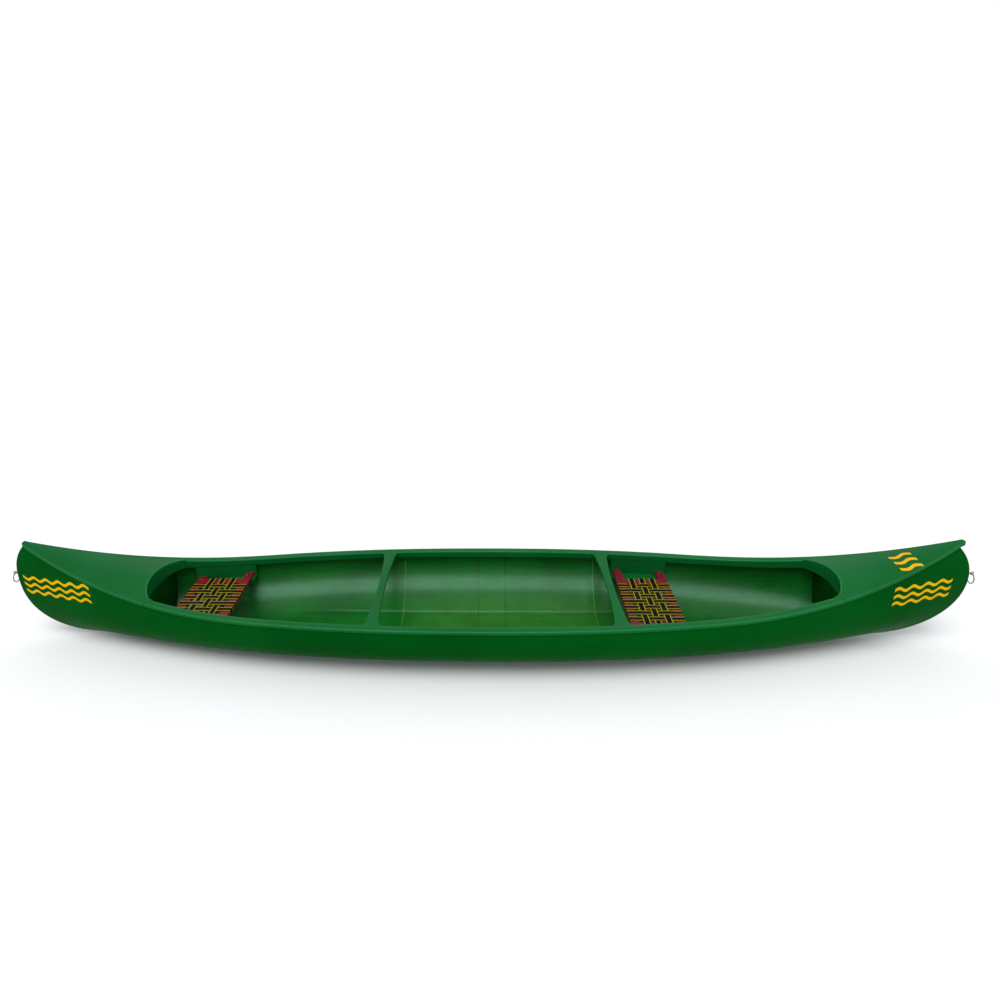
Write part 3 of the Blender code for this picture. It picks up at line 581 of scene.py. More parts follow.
def red_wood(name):
    """Red-painted wood: brush marks along the boards, grain and rubbed edges showing through."""
    made, tree, shader, place = surface(name)
    grain = noise(tree, place, 30.0, 5.0, (9.0, 1.0, 9.0), 0.6)
    fleck = noise(tree, place, 55.0, 4.0, (1.0, 4.0, 4.0), 0.7)
    colour = mix_colour(tree, ramp(tree, grain, 0.3, 0.7), *RED)
    colour = mix_colour(tree, ramp(tree, fleck, 0.66, 0.78, 0.0, 0.4), colour, RED_FLECK)
    edge = node(tree, "ShaderNodeNewGeometry").outputs["Pointiness"]
    colour = mix_colour(tree, ramp(tree, edge, 0.53, 0.62, 0.0, 0.35), colour, RED_RUBBED)
    normal = bump(tree, grain, 0.35, 0.0005)
    rough = ramp(tree, fleck, 0.3, 0.7, 0.34, 0.52)
    plug(tree, shader, Base_Color=colour, Roughness=rough, Normal=normal, Specular_IOR_Level=SHINE_WOOD)
    return made


def webbing(name):
    """Black seat webbing with a yellow stripe inside each selvedge. UV is metres (across, along)."""
    made, tree, shader, place = surface(name)
    uv = node(tree, "ShaderNodeUVMap", uv_map="weave").outputs[0]
    split = node(tree, "ShaderNodeSeparateXYZ", {0: uv})
    across, along = split.outputs["X"], split.outputs["Y"]
    reach = calc(tree, "ABSOLUTE", across)
    inner, outer = STRIPE
    stripe = calc(tree, "MULTIPLY", ramp(tree, reach, inner - STRIPE_BLUR, inner + STRIPE_BLUR),
                  ramp(tree, reach, outer + STRIPE_BLUR, outer - STRIPE_BLUR))
    rib = calc(tree, "SINE", calc(tree, "MULTIPLY", along, 2 * math.pi / WEB_RIB))
    slant = calc(tree, "ADD", calc(tree, "MULTIPLY", reach, 2 * math.pi / WEB_TWILL),
                 calc(tree, "MULTIPLY", along, 2 * math.pi / WEB_TWILL))
    twill = calc(tree, "SINE", slant)
    wear = noise(tree, place, 40.0, 4.0)
    black = mix_colour(tree, ramp(tree, wear, 0.35, 0.75), *WEB_BLACK)
    thread = mix_colour(tree, ramp(tree, rib, -0.6, 0.9), *WEB_YELLOW)
    colour = mix_colour(tree, stripe, black, thread)
    height = calc(tree, "ADD", calc(tree, "MULTIPLY", twill, 0.6), calc(tree, "MULTIPLY", rib, 0.4))
    plug(tree, shader, Base_Color=colour, Roughness=0.72, Specular_IOR_Level=SHINE_WEB,
         Normal=bump(tree, height, 0.55, 0.0003))
    return made


def steel(name):
    made, tree, shader, place = surface(name)
    scratch = noise(tree, place, 90.0, 4.0, (1.0, 6.0, 1.0), 0.7)
    colour = mix_colour(tree, scratch, *STEEL)
    plug(tree, shader, Base_Color=colour, Metallic=1.0, Roughness=ramp(tree, scratch, 0.3, 0.75, 0.16, 0.36),
         Normal=bump(tree, scratch, 0.15, 0.0002))
    return made


def studio_floor(name):
    made, tree, shader, place = surface(name)
    colour = mix_colour(tree, noise(tree, place, 0.8, 2.0), *PALE)
    plug(tree, shader, Base_Color=colour, Roughness=0.9, Specular_IOR_Level=SHINE_FLOOR)
    return made


LOOKS = {
    "hull": gelcoat("green_gelcoat_with_marks", GREEN_HULL, SHINE_HULL, SIDE_MARKS),
    # deck and gelcoat use the lighter green: painted light on the upper parts.
    "deck": gelcoat("green_deck_with_marks", GREEN_TOP_PAINTED_LIGHT, SHINE_TOP, DECK_MARKS),
    "gelcoat": gelcoat("green_gelcoat", GREEN_TOP_PAINTED_LIGHT, SHINE_TOP),
    # edge: a lighter, glossier green on rounded edges, a painted highlight line.
    "edge": gelcoat("green_edge_painted_highlight", GREEN_EDGE_PAINTED_HIGHLIGHT, SHINE_EDGE),
    "inside": laminate_inside("green_laminate_inside"),
    # dark: the bulkheads' darker green, painted shade under the decks.
    "dark": bulkhead_painted_shade("green_laminate_painted_shade"),
    "wood": red_wood("red_painted_wood"),
    "web": webbing("striped_webbing"),
    "steel": steel("bright_steel"),
}


# -------- building pieces
def add_piece(name, bm, looks, slot, body, *nodes, sharp=40.0, outward=True):
    """Turns a bmesh into a piece that stands for CAD nodes and rides on a body."""
    if outward:
        bmesh.ops.recalc_face_normals(bm, faces=bm.faces)
    mesh = bpy.data.meshes.new(name)
    bm.to_mesh(mesh)
    bm.free()
    mesh.shade_smooth()
    mesh.set_sharp_from_angle(angle=math.radians(sharp))
    for look in looks:
        mesh.materials.append(LOOKS[look])
    made = bpy.data.objects.new(name, mesh)
    bpy.context.scene.collection.objects.link(made)
    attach(made, body)
    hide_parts(*nodes)
    return made


def soften(piece, width, angle=35.0):
    step = piece.modifiers.new("rounded_edges", "BEVEL")
    step.width = width
    step.segments = 3
    step.limit_method = "ANGLE"
    step.angle_limit = math.radians(angle)


def thicken(piece, even=True):
    step = piece.modifiers.new("thickness", "SOLIDIFY")
    step.thickness = CAP_SKIN
    step.offset = -1.0
    step.use_even_offset = even
    step.use_rim = True


def settle(piece, sharp=40.0, flat=False):
    """Turns the piece's modifiers into plain mesh, so that the new edges can be marked as sharp."""
    bpy.context.view_layer.update()
    graph = bpy.context.evaluated_depsgraph_get()
    mesh = bpy.data.meshes.new_from_object(piece.evaluated_get(graph))
    piece.modifiers.clear()
    piece.data = mesh
    mesh.name = piece.name
    mesh.shade_smooth()
    mesh.set_sharp_from_angle(angle=math.radians(sharp))
    if flat:
        step = piece.modifiers.new("flat_faces", "WEIGHTED_NORMAL")
        step.keep_sharp = True


def add_grid(bm, rows):
    grid = [[bm.verts.new(p) for p in row] for row in rows]
    for before, after in zip(grid, grid[1:]):
        for k in range(len(before) - 1):
            bm.faces.new((before[k], before[k + 1], after[k + 1], after[k]))
    return grid


def hull_loop(bm, place, columns, index, shares):
    """A closed ring of vertices round the hull at one column: port, bow, starboard, stern."""
    port = [place(columns, index, s) for s in shares]
    starboard = [Vector((p.x, -p.y, p.z)) for p in reversed(port)]
    noses = []
    for last, way in ((port[-1], 1), (port[0], -1)):
        angles = [math.pi * k / NOSE_STEPS for k in range(1, NOSE_STEPS)]
        arc = [Vector((last.x + way * STEM_NOSE * math.sin(a), last.y * math.cos(a), last.z)) for a in angles]
        noses.append(arc if way > 0 else list(reversed(arc)))
    return [bm.verts.new(p) for p in [*port, *noses[0], *starboard, *noses[1]]]


def make_hull():
    columns = hull_columns()
    shares = []
    for k in range(-HALF_STATIONS, HALF_STATIONS + 1):
        share = k / HALF_STATIONS
        shares.append(0.5 * share + 0.5 * math.sin(share * math.pi / 2))
    count, nose = len(shares), NOSE_STEPS - 1
    bm = bmesh.new()
    tops = []
    for place, look in ((hull_outer, 0), (hull_inner, 1)):
        rings = [hull_loop(bm, place, columns, k, shares) for k in range(len(columns))]
        faces = []
        for lower, upper in zip(rings, rings[1:]):
            for k in range(len(lower)):
                after = (k + 1) % len(lower)
                faces.append(bm.faces.new((lower[k], lower[after], upper[after], upper[k])))
        ring = rings[0]
        port, bow = ring[:count], ring[count:count + nose]
        starboard, stern = ring[count + nose:2 * count + nose][::-1], ring[2 * count + nose:]
        for k in range(count - 1):
            faces.append(bm.faces.new((port[k], port[k + 1], starboard[k + 1], starboard[k])))
        faces.append(bm.faces.new((port[-1], *bow, starboard[-1])))
        faces.append(bm.faces.new((starboard[0], *stern, port[0])))
        for face in faces:
            face.material_index = look
        tops.append(rings[-1])
    for k in range(len(tops[0])):
        after = (k + 1) % len(tops[0])
        bm.faces.new((tops[0][k], tops[0][after], tops[1][after], tops[1][k]))
    add_piece("hull_shell", bm, ("hull", "inside"), "gelcoat", "canoe", "hull", sharp=60)


def quarter(radius, steps):
    """(sideways, up) shares of a quarter circle that starts straight up."""
    angles = [math.pi / 2 * k / steps for k in range(steps + 1)]
    return [(radius * (1 - math.cos(a)), radius * (1 - math.sin(a))) for a in angles]


def make_gunwales():
    start, end = -COAMING[STERN][0] + SEAM_GAP, COAMING[BOW][0] - SEAM_GAP
    for side, name in ((1, "port"), (-1, "starboard")):
        rows = []
        for k in range(GUNWALE_STATIONS + 1):
            x = start + (end - start) * k / GUNWALE_STATIONS
            inboard = smooth(min(x - start, end - x) / SOFT_FADE)
            outer = quarter(CAP_ROUND + (CAP_SOFT - CAP_ROUND) * inboard, 5)
            profile = [(0, LIP), (0, LIP * 0.6)] + outer
            profile += [(CAP_WIDTH / 2, -CAP_CROWN)]
            profile += [(CAP_WIDTH - a, d) for a, d in reversed(outer)]
            profile += [(CAP_WIDTH, wall_depth(x) * share) for share in (0.5, 0.97, 1.0)]
            stern_share = max(0.0, 1 - (x - start) / SEAM_FADE)
            bow_share = max(0.0, 1 - (end - x) / SEAM_FADE)
            slant = SEAM_SLANT * (stern_share - bow_share) / CAP_WIDTH
            row = []
            for inward, drop in profile:
                square = rim_point(x + slant * inward, side, inward, drop)
                met = seam_point(x + slant * inward, side, inward, drop)
                row.append(square.lerp(met, stern_share + bow_share))
            rows.append(row)
        bm = bmesh.new()
        grid = add_grid(bm, rows)
        # The cap's rounded edges take the edge look: a painted highlight line along each.
        for first in (2, 9):
            rounded = {v for row in grid for v in row[first:first + 6]}
            for face in bm.faces:
                if all(v in rounded for v in face.verts):
                    face.material_index = 1
        if side < 0:
            bmesh.ops.reverse_faces(bm, faces=bm.faces)
        cap = add_piece(f"{name}_gunwale_cap", bm, ("gelcoat", "edge"), "gelcoat", "canoe",
                        f"{name}_gunwale", outward=False)
        thicken(cap)
        settle(cap)


def coaming_x(v, corner, coaming):
    """The coaming's line: an ellipse, then the slanting seam. corner is v at the cap's inner edge."""
    outer, centre = coaming
    if abs(v) >= corner:
        return outer - SEAM_SLANT * (1 - abs(v)) / (1 - corner)
    return centre - (centre - outer + SEAM_SLANT) * (1 - math.sqrt(1 - (v / corner) ** 2))


def deck_rows(end, coaming):
    """Rows of the deck's top from the coaming to the nose."""
    outer = coaming[0]
    corner = inner_edge(outer - SEAM_SLANT) / rim_point(outer - SEAM_SLANT, 1, CAP_ROUND, 0).y
    half = [corner * math.sin(math.radians(a)) for a in range(6, 91, 6)]
    half += [corner + (1 - corner) * share for share in (0.25, 0.5, 0.75, 1.0)]
    across = [-v for v in reversed(half)] + [0.0] + half
    rows = []
    shares = [k / DECK_STATIONS for k in range(DECK_STATIONS + 1)]
    for u in [NOSE_FROM * (0.5 * s + 0.25 * (1 - math.cos(math.pi * s))) for s in shares]:
        x_rim = outer + (TIP_X - outer) * u
        bend = (1 - u) ** 2
        crown = DECK_CROWN * (1 - u)
        row = []
        for v in across:
            x = x_rim + (coaming_x(v, corner, coaming) - outer) * bend
            hold = min(1.0, (abs(v) / corner)) ** 6
            edge = rim_point(x if abs(v) >= corner else x_rim - SEAM_SLANT * bend * hold, 1, CAP_ROUND, 0)
            row.append(Vector((end * x, v * edge.y, sheer(x) + crown * (1 - v * v) ** 1.5)))
        rows.append(row)
    last = TIP_X - CAP_ROUND + DECK_NOSE[end]
    before = rows[-1]
    for q in (0.3, 0.55, 0.75, 0.9, 1.0):
        row = []
        for v, base in zip(across, before):
            tip = Vector((end * (last - CAP_ROUND * abs(v)), v * NOSE_TIP, sheer(TIP_X)))
            row.append(Vector((base.x + (tip.x - base.x) * q,
                               tip.y + (base.y - tip.y) * math.sqrt(1 - q * q),
                               base.z + (tip.z - base.z) * q)))
        rows.append(row)
    return rows


def skirt(bm, upper, lower, look=0):
    for k in range(len(upper) - 1):
        face = bm.faces.new((upper[k], lower[k], lower[k + 1], upper[k + 1]))
        face.material_index = look


def outward_runs(line, end):
    """For each vertex of a line seen from above, the unit vector to the left of its run."""
    runs = []
    for k in range(len(line)):
        run = line[min(len(line) - 1, k + 1)].co - line[max(0, k - 1)].co
        runs.append(Vector((-end * run.y, end * run.x, 0)).normalized())
    return runs


def make_deck(end, name):
    coaming = COAMING[end]
    bm = bmesh.new()
    grid = add_grid(bm, deck_rows(end, coaming))
    outline = [row[0] for row in grid] + grid[-1][1:-1] + [row[-1] for row in reversed(grid)]
    aways = outward_runs(outline, end)
    # The rolled outer edge takes look 1, the edge green: a painted highlight line.
    rolled = [(CAP_ROUND * sideways, CAP_ROUND * down, 1) for sideways, down in DECK_ROLL]
    lip = [(CAP_ROUND, CAP_ROUND + (LIP - CAP_ROUND) * share, 0) for share in (0.6, 1)]
    upper = outline
    for sideways, down, look in rolled + lip:
        lower = [bm.verts.new(v.co - a * sideways - Vector((0, 0, down))) for v, a in zip(outline, aways)]
        skirt(bm, upper, lower, look)
        upper = lower
    brink = grid[0][1:-1]
    inwards = outward_runs(brink, end)
    upper = brink
    last = len(brink) - 1
    shares = [smooth((min(k, last - k) - COAMING_FLAT) / COAMING_EASE) for k in range(last + 1)]
    # The coaming's bead also takes the edge green: a painted highlight line.
    for inward, rise in COAMING_PROFILE:
        lower = []
        for v, a, share in zip(brink, inwards, shares):
            sideways = inward * (COAMING_LEAST + (1 - COAMING_LEAST) * share)
            lower.append(bm.verts.new(v.co + a * sideways + Vector((0, 0, rise * share))))
        skirt(bm, upper, lower, 1)
        upper = lower
    foot_z = sheer(coaming[0]) - COAMING_WALL
    base = upper
    for share in (0.5, 0.96, 1.0):
        lower = [bm.verts.new((v.co.x, v.co.y, v.co.z + (foot_z - v.co.z) * share)) for v in base]
        skirt(bm, upper, lower)
        upper = lower
    bmesh.ops.recalc_face_normals(bm, faces=bm.faces)
    middle = grid[len(grid) // 2][len(grid[0]) // 2]
    if sum(f.normal.z for f in middle.link_faces) < 0:
        bmesh.ops.reverse_faces(bm, faces=bm.faces)
    look = "deck" if end == BOW else "gelcoat"
    deck = add_piece(f"{name}_deck_moulding", bm, (look, "edge"), "gelcoat", "canoe", f"{name}_deck",
                     outward=False)
    thicken(deck, even=False)
    settle(deck)


def make_thwart(name, centre_x):
    """A waisted crosspiece, flared where it joins the gunwales, with rounded edges."""
    bm = bmesh.new()
    shares = [math.sin(math.pi / 2 * k / 36) for k in range(-36, 37)]
    rings = []
    for t in shares:
        flare = max(0.0, (abs(t) - THWART_FLARE_FROM) / (1 - THWART_FLARE_FROM)) ** 2
        half = THWART_HALF + THWART_SPREAD * t * t + THWART_FLARE * flare
        ring = []
        for corner, (sx, sz) in enumerate(((1, 1), (-1, 1), (-1, -1), (1, -1))):
            for k in range(5):
                angle = math.pi / 2 * (corner + k / 4)
                x = centre_x + sx * (half - THWART_ROUND) + THWART_ROUND * math.cos(angle)
                up = sz * (THWART_THICK / 2 - THWART_ROUND) + THWART_ROUND * math.sin(angle)
                drop = THWART_THICK / 2 - up
                y = t * (inner_edge(x) - GAP)
                ring.append(bm.verts.new((x, y, sheer(centre_x) - THWART_DROP - drop)))
        rings.append(ring)
    for before, after in zip(rings, rings[1:]):
        for k in range(len(before)):
            nxt = (k + 1) % len(before)
            bm.faces.new((before[k], before[nxt], after[nxt], after[k]))
    bm.faces.new(rings[0])
    bm.faces.new(rings[-1])
    add_piece(f"{name}_thwart_moulding", bm, ("gelcoat",), "gelcoat", "canoe", f"{name}_thwart")


# -------- seats
def make_brackets(name, seat):
    shelf = seat["top"] - SEAT_THICK - GAP
    first, last, rail = seat["x0"], seat["x1"], seat["rail"]
    outer = (first - SHELF_MARGIN, last + SHELF_MARGIN)
    edges = (first + rail + SHELF_STEP, last - rail - SHELF_STEP)
    middle = [edges[0] + (edges[1] - edges[0]) * k / 6 for k in range(7)]
    stations = [outer[0], first + rail, *middle, last - rail, outer[1]]
    for side, side_name in ((1, "port"), (-1, "starboard")):
        rows = []
        for x in stations:
            between = edges[0] - GAP < x < edges[1] + GAP
            level = shelf - (SHELF_RECESS if between else 0.0)
            wall, brink = inner_edge(x), inner_edge(x, seat["shelf"] if between else SHELF_OUT)
            profile = ((wall, sheer(x) - wall_depth(x) - BRACKET_GAP), (wall, level), (brink, level),
                       (brink, shelf - SHELF_APRON))
            rows.append([Vector((x, side * y, z)) for y, z in profile])
        bm = bmesh.new()
        add_grid(bm, rows)
        if side < 0:
            bmesh.ops.reverse_faces(bm, faces=bm.faces)
        bracket = add_piece(f"{name}_{side_name}_seat_shelf", bm, ("gelcoat",), "gelcoat", "canoe",
                            f"{name}_seat_{side_name}_bracket", outward=False)
        soften(bracket, SEAT_EDGE, 25.0)
        thicken(bracket)
        settle(bracket, 50.0, flat=True)


def make_seat_frame(name, seat):
    """One board: two long rails, two crosspieces, a window between them."""
    x0, x1, rail = seat["x0"], seat["x1"], seat["rail"]
    bottom = seat["top"] - SEAT_THICK
    xs = (x0, x0 + rail, x1 - rail, x1)
    bm = bmesh.new()

    def corner(i, j):
        if j in (0, 5):
            y = inner_edge(xs[i], SEAT_END_GAP)
        else:
            y = seat["cross_out"] if j in (1, 4) else seat["cross_in"]
        return bm.verts.new((xs[i], y if j > 2 else -y, bottom))

    grid = [[corner(i, j) for j in range(6)] for i in range(4)]
    faces = []
    for i in range(3):
        for j in range(5):
            if i != 1 or j in (1, 3):
                corners = (grid[i][j], grid[i + 1][j], grid[i + 1][j + 1], grid[i][j + 1])
                faces.append(bm.faces.new(corners))
    moved = bmesh.ops.extrude_face_region(bm, geom=faces)["geom"]
    raised = [v for v in moved if isinstance(v, bmesh.types.BMVert)]
    bmesh.ops.translate(bm, vec=(0, 0, SEAT_THICK), verts=raised)
    bmesh.ops.recalc_face_normals(bm, faces=bm.faces)
    posts = []
    for edge in bm.edges:
        low, high = edge.verts
        upright = (low.co - high.co).xy.length < 1e-6
        on_rail = min(abs(low.co.x - xs[1]), abs(low.co.x - xs[2])) < 1e-6
        if upright and on_rail and abs(low.co.y) < seat["cross_out"] + 0.001:
            posts.append(edge)
    bmesh.ops.bevel(bm, geom=posts, offset=WINDOW_ROUND, segments=6, profile=0.5, affect="EDGES")
    board = add_piece(f"{name}_seat_board", bm, ("wood",), "red_wood", "canoe", f"{name}_seat_frame")
    soften(board, SEAT_EDGE)
    settle(board, 50.0, flat=True)


def ease(path, reach):
    """The path with each corner rounded by a short curve that starts and ends reach from it."""
    eased = [path[0]]
    for before, corner, after in zip(path, path[1:], path[2:]):
        first, second = before - corner, after - corner
        start = corner + first.normalized() * min(reach, 0.48 * first.length)
        end = corner + second.normalized() * min(reach, 0.48 * second.length)
        for k in range(6):
            t = k / 5
            eased.append(start * (1 - t) ** 2 + corner * 2 * t * (1 - t) + end * t * t)
    eased.append(path[-1])
    return eased


def band(name, node_name, path, across, start):
    """A flat strap along a path of (run, height) points, with rounded selvedges and UVs in metres."""
    bm = bmesh.new()
    uv = bm.loops.layers.uv.new("weave")
    half, thick = WEB_WIDTH / 2, WEB_THICK / 2
    section = ((-1, 0.0), (-0.985, 0.6), (-0.93, 0.95), (-0.5, 1.0), (0, 1.0), (0.5, 1.0), (0.93, 0.95),
               (0.985, 0.6), (1, 0.0), (0.985, -0.6), (0.93, -0.95), (0, -1.0), (-0.93, -0.95),
               (-0.985, -0.6))
    rings, lengths = [], [0.0]
    for k, spot in enumerate(path):
        before, after = path[max(0, k - 1)], path[min(len(path) - 1, k + 1)]
        first = (spot - before).normalized() if k else (after - spot).normalized()
        second = (after - spot).normalized() if k < len(path) - 1 else first
        middle = (first + second).normalized()
        normal = Vector((-middle.y, middle.x)) / max(0.5, middle.dot(first))
        if k:
            lengths.append(lengths[-1] + (spot - before).length)
        ring = []
        for side, up in section:
            place = start + side * half
            at = spot + normal * up * thick
            ring.append(bm.verts.new((at.x, place, at.y) if across == "Y" else (place, at.x, at.y)))
        rings.append(ring)
    count = len(section)
    for r, (before, after) in enumerate(zip(rings, rings[1:])):
        for k in range(count):
            nxt = (k + 1) % count
            face = bm.faces.new((before[k], before[nxt], after[nxt], after[k]))
            marks = ((section[k][0], lengths[r]), (section[nxt][0], lengths[r]),
                     (section[nxt][0], lengths[r + 1]), (section[k][0], lengths[r + 1]))
            for loop, (side, run) in zip(face.loops, marks):
                loop[uv].uv = (side * half, run)
    bm.faces.new(rings[0])
    bm.faces.new(rings[-1])
    add_piece(name, bm, ("web",), "webbing", "canoe", node_name, sharp=70)


def strap_path(low, high, board, top, bottom, crossings, over):
    """Round one rail, over and under the crossing straps, and round the other rail."""
    skin = WEB_LIFT + WEB_THICK / 2
    level = top + skin + WEB_LEVEL
    tab = board - WEB_TAIL
    lead = [Vector(p) for p in ((low + tab, bottom - skin), (low - skin, bottom - skin), (low - skin, level))]
    middle = []
    hold = WEB_WIDTH / 2 + WEB_HOLD
    for k, place in enumerate(crossings):
        height = level + (WEB_LEVEL if over(k) else -WEB_LEVEL)
        middle += [Vector((place - hold, height)), Vector((place + hold, height))]
    start = Vector((low + WEB_START, level))
    stop = Vector((high - WEB_START, level))
    trail = [Vector((high + low - p.x, p.y)) for p in reversed(lead)]
    turned = ease([*lead, start], WEB_TURN)[:-1]
    woven = ease([start, *middle, stop], WEB_EASE)
    return turned + woven + ease([stop, *trail], WEB_TURN)[1:]


def make_straps(name, seat):
    x0, x1 = seat["x0"], seat["x1"]
    centre = (x0 + x1) / 2
    top, bottom = seat["top"], seat["top"] - SEAT_THICK
    rows = seat["rows"]
    row_y = [seat["row_pitch"] * ((rows - 1) / 2 - k) for k in range(rows)]
    column_x = [centre + seat["column_pitch"] * (k - (COLUMNS_PER_SEAT - 1) / 2)
                for k in range(COLUMNS_PER_SEAT)]
    for r, y in enumerate(row_y):
        path = strap_path(x0, x1, seat["rail"], top, bottom, column_x, lambda k, r=r: (r + k) % 2 == 1)
        band(f"{name}_long_web_{r + 1}", f"{name}_seat_long_strap_{r + 1}", path, "Y", y)
    for c, x in enumerate(column_x):
        edge, board = seat["cross_out"], seat["cross_out"] - seat["cross_in"]
        path = strap_path(-edge, edge, board, top, bottom, row_y[::-1], lambda k, c=c: (k + c) % 2 == 0)
        band(f"{name}_cross_web_{c + 1}", f"{name}_seat_cross_strap_{c + 1}", path, "X", x)


def lathe(profile, segments, centre):
    """Turns (radius, height) points round Z. Points with no radius close it."""
    bm = bmesh.new()
    rings = []
    for radius, height in profile:
        angles = [2 * math.pi * k / segments for k in range(segments)] if radius else [0.0]
        rings.append([bm.verts.new(centre + Vector((radius * math.cos(a), radius * math.sin(a), height)))
                      for a in angles])
    for before, after in zip(rings, rings[1:]):
        for k in range(segments):
            spots = [before[k % len(before)], before[(k + 1) % len(before)],
                     after[(k + 1) % len(after)], after[k % len(after)]]
            bm.faces.new(list(dict.fromkeys(spots)))
    return bm


def make_screws(name, seat):
    top = seat["top"]
    stub = -SEAT_THICK - GAP - CAP_SKIN - SCREW_TAIL
    r, head = SCREW_RADIUS, SCREW_HEAD
    dome = [(head * math.cos(k / 4), HEAD_RIM + HEAD_RISE * math.sin(k / 4)) for k in range(6)]
    profile = [(0, stub), (r * 0.8, stub), (r, stub + HEAD_RIM / 2), (r, HEAD_RIM / 4)]
    profile += [(head * 0.96, HEAD_RIM / 4), (head, HEAD_RIM / 2)] + dome
    profile += [(head * 0.14, HEAD_RIM + HEAD_RISE), (0, HEAD_RIM + HEAD_RISE)]
    for side, side_name in ((1, "port"), (-1, "starboard")):
        for (x, y), end in zip(seat["screws"], ("aft", "fore")):
            bm = lathe(profile, 28, Vector((x, side * y, top)))
            add_piece(f"{name}_{side_name}_{end}_bolt", bm, ("steel",), "steel", "canoe",
                      f"{name}_seat_{side_name}_{end}_screw")


# -------- painter rings
def tube(path, radius, sides, closed):
    """A round bar along points in the XZ plane, or the YZ plane if it is closed."""
    bm = bmesh.new()
    rings = []
    count = len(path)
    for k, point in enumerate(path):
        before = path[(k - 1) % count] if closed or k else point
        after = path[(k + 1) % count] if closed or k < count - 1 else point
        binormal = Vector((1, 0, 0)) if closed else Vector((0, 1, 0))
        normal = (after - before).normalized().cross(binormal).normalized()
        ring = []
        for j in range(sides):
            angle = 2 * math.pi * j / sides
            away = normal * math.cos(angle) + binormal * math.sin(angle)
            ring.append(bm.verts.new(point + away * radius))
        rings.append(ring)
    pairs = list(zip(rings, rings[1:])) + ([(rings[-1], rings[0])] if closed else [])
    for before, after in pairs:
        for j in range(sides):
            bm.faces.new((before[j], before[(j + 1) % sides], after[(j + 1) % sides], after[j]))
    if not closed:
        bm.faces.new(rings[0])
        bm.faces.new(rings[-1])
    return bm


def make_stem_fittings(end, name):
    eye = Vector((end * EYE_X, 0, EYE_Z))
    start = STEM_X + STEM_REACH - EYE_SHANK
    path = [Vector((end * start, 0, EYE_Z))]
    path.append(Vector((end * (EYE_X - EYE_RADIUS - EYE_NECK), 0, EYE_Z)))
    for k in range(49):
        angle = math.radians(EYE_TURN[0] + EYE_TURN[1] * k / 48)
        path.append(eye + Vector((end * EYE_RADIUS * math.cos(angle), 0, EYE_RADIUS * math.sin(angle))))
    add_piece(f"{name}_painter_eye", tube(path, EYE_WIRE, 16, False), ("steel",), "steel", "canoe",
              f"{name}_stem_eye", sharp=60)
    hang = EYE_Z - EYE_RADIUS + EYE_WIRE + RING_WIRE + GAP
    centre = Vector((end * EYE_X, 0, hang - RING_RADIUS))
    circle = []
    for k in range(96):
        angle = 2 * math.pi * k / 96
        circle.append(centre + Vector((0, RING_RADIUS * math.cos(angle), RING_RADIUS * math.sin(angle))))
    add_piece(f"{name}_painter_ring_bar", tube(circle, RING_WIRE, 18, True), ("steel",), "steel",
              f"{name}_painter_ring", f"{name}_ring", sharp=60)


# -------- scene
def make_camera():
    data = bpy.data.cameras.new("camera")
    data.sensor_width = 36.0
    data.lens = CAMERA_LENS
    data.shift_x = CAMERA_SHIFT_X
    camera = bpy.data.objects.new("camera", data)
    bpy.context.scene.collection.objects.link(camera)
    yaw, pitch, roll = CAMERA_YAW, CAMERA_PITCH, CAMERA_ROLL
    forward = Vector((-math.sin(yaw) * math.cos(pitch), math.cos(yaw) * math.cos(pitch), -math.sin(pitch)))
    level = Vector((math.cos(yaw), math.sin(yaw), 0))
    upright = level.cross(forward)
    right = level * math.cos(roll) + upright * math.sin(roll)
    up = upright * math.cos(roll) - level * math.sin(roll)
    turn = Matrix((right, up, -forward)).transposed().to_4x4()
    camera.matrix_world = Matrix.Translation(CAMERA_PLACE) @ turn
    bpy.context.scene.camera = camera


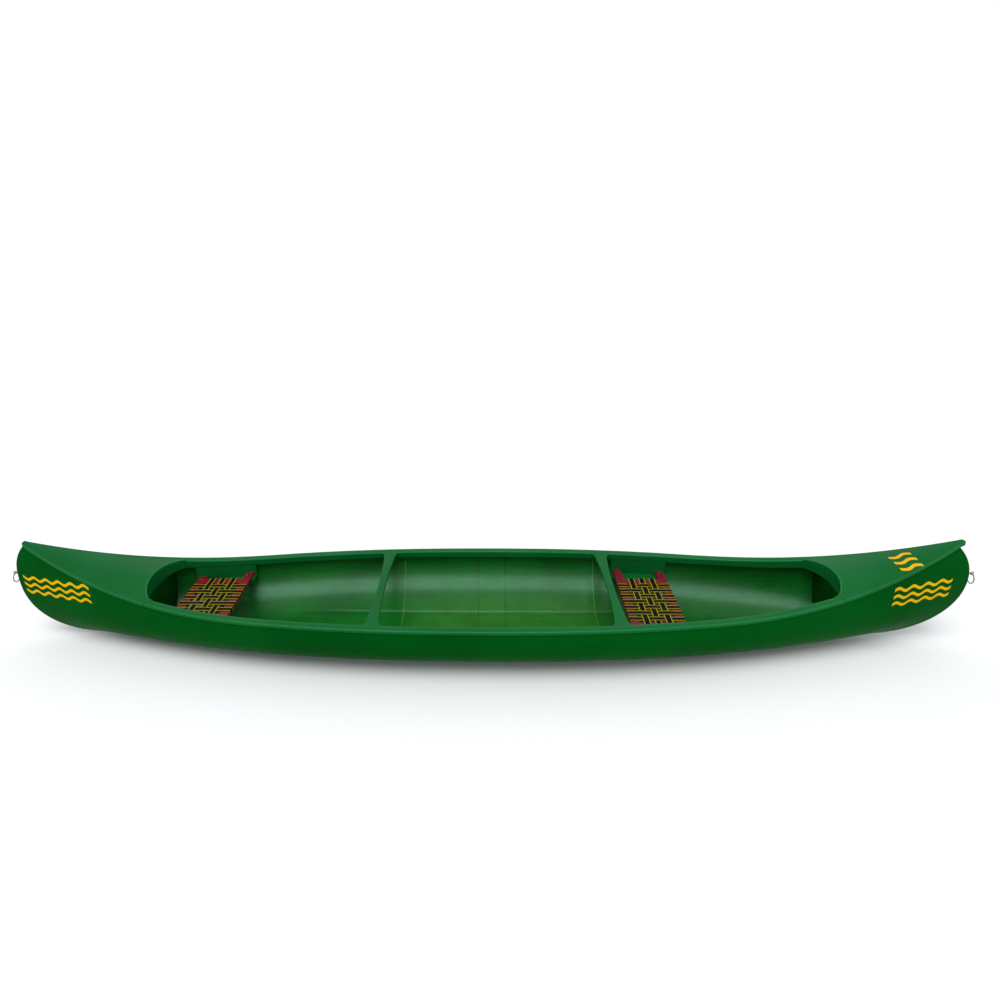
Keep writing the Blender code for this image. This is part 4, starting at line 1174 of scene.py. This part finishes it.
def add_sun(name, power, way, tint=(1.0, 1.0, 1.0)):
    data = bpy.data.lights.new(name, "SUN")
    data.energy = power
    data.color = tint
    data.angle = math.radians(LIGHT_SPREAD)
    made = bpy.data.objects.new(name, data)
    made.rotation_euler = Vector(way).to_track_quat("-Z", "Y").to_euler()
    bpy.context.scene.collection.objects.link(made)
    return made


def make_studio():
    bm = bmesh.new()
    bmesh.ops.create_grid(bm, x_segments=1, y_segments=1, size=FLOOR_SIZE)
    mesh = bpy.data.meshes.new("studio_floor")
    bm.to_mesh(mesh)
    bm.free()
    mesh.materials.append(studio_floor("studio_floor"))
    floor = bpy.data.objects.new("studio_floor", mesh)
    bpy.context.scene.collection.objects.link(floor)
    world = bpy.data.worlds.new("studio")
    world.use_nodes = True
    tree = world.node_tree
    soft = tree.nodes["Background"]
    soft.inputs["Color"].default_value = SKY_TINT
    soft.inputs["Strength"].default_value = SKY
    plain = node(tree, "ShaderNodeBackground", {"Color": (1.0, 1.0, 1.0, 1.0), "Strength": BACKDROP})
    seen = node(tree, "ShaderNodeLightPath").outputs["Is Camera Ray"]
    both = node(tree, "ShaderNodeMixShader", {0: seen, 1: soft.outputs[0], 2: plain.outputs[0]})
    tree.links.new(both.outputs[0], tree.nodes["World Output"].inputs["Surface"])
    bpy.context.scene.world = world
    add_sun("soft_key", KEY, KEY_WAY).visible_glossy = False
    add_sun("gloss_panel", GLOSS, GLOSS_WAY, GLOSS_TINT).visible_diffuse = False
    bpy.context.scene.view_settings.view_transform = "Standard"


make_camera()
make_studio()
make_hull()
make_gunwales()
for place, label in ((BOW, "bow"), (STERN, "stern")):
    make_deck(place, label)
    make_stem_fittings(place, label)
    make_thwart(label, THWARTS[label])
    make_brackets(label, SEATS[label])
    make_seat_frame(label, SEATS[label])
    make_straps(label, SEATS[label])
    make_screws(label, SEATS[label])
for node_name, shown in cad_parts.items():
    # Bulkheads get the darker green, painted shade under the decks.
    if node_name.endswith("_bulkhead"):
        shown.material_slots[0].material = LOOKS["dark"]
    elif node_name.endswith("_nut"):
        shown.material_slots[0].material = LOOKS["steel"]
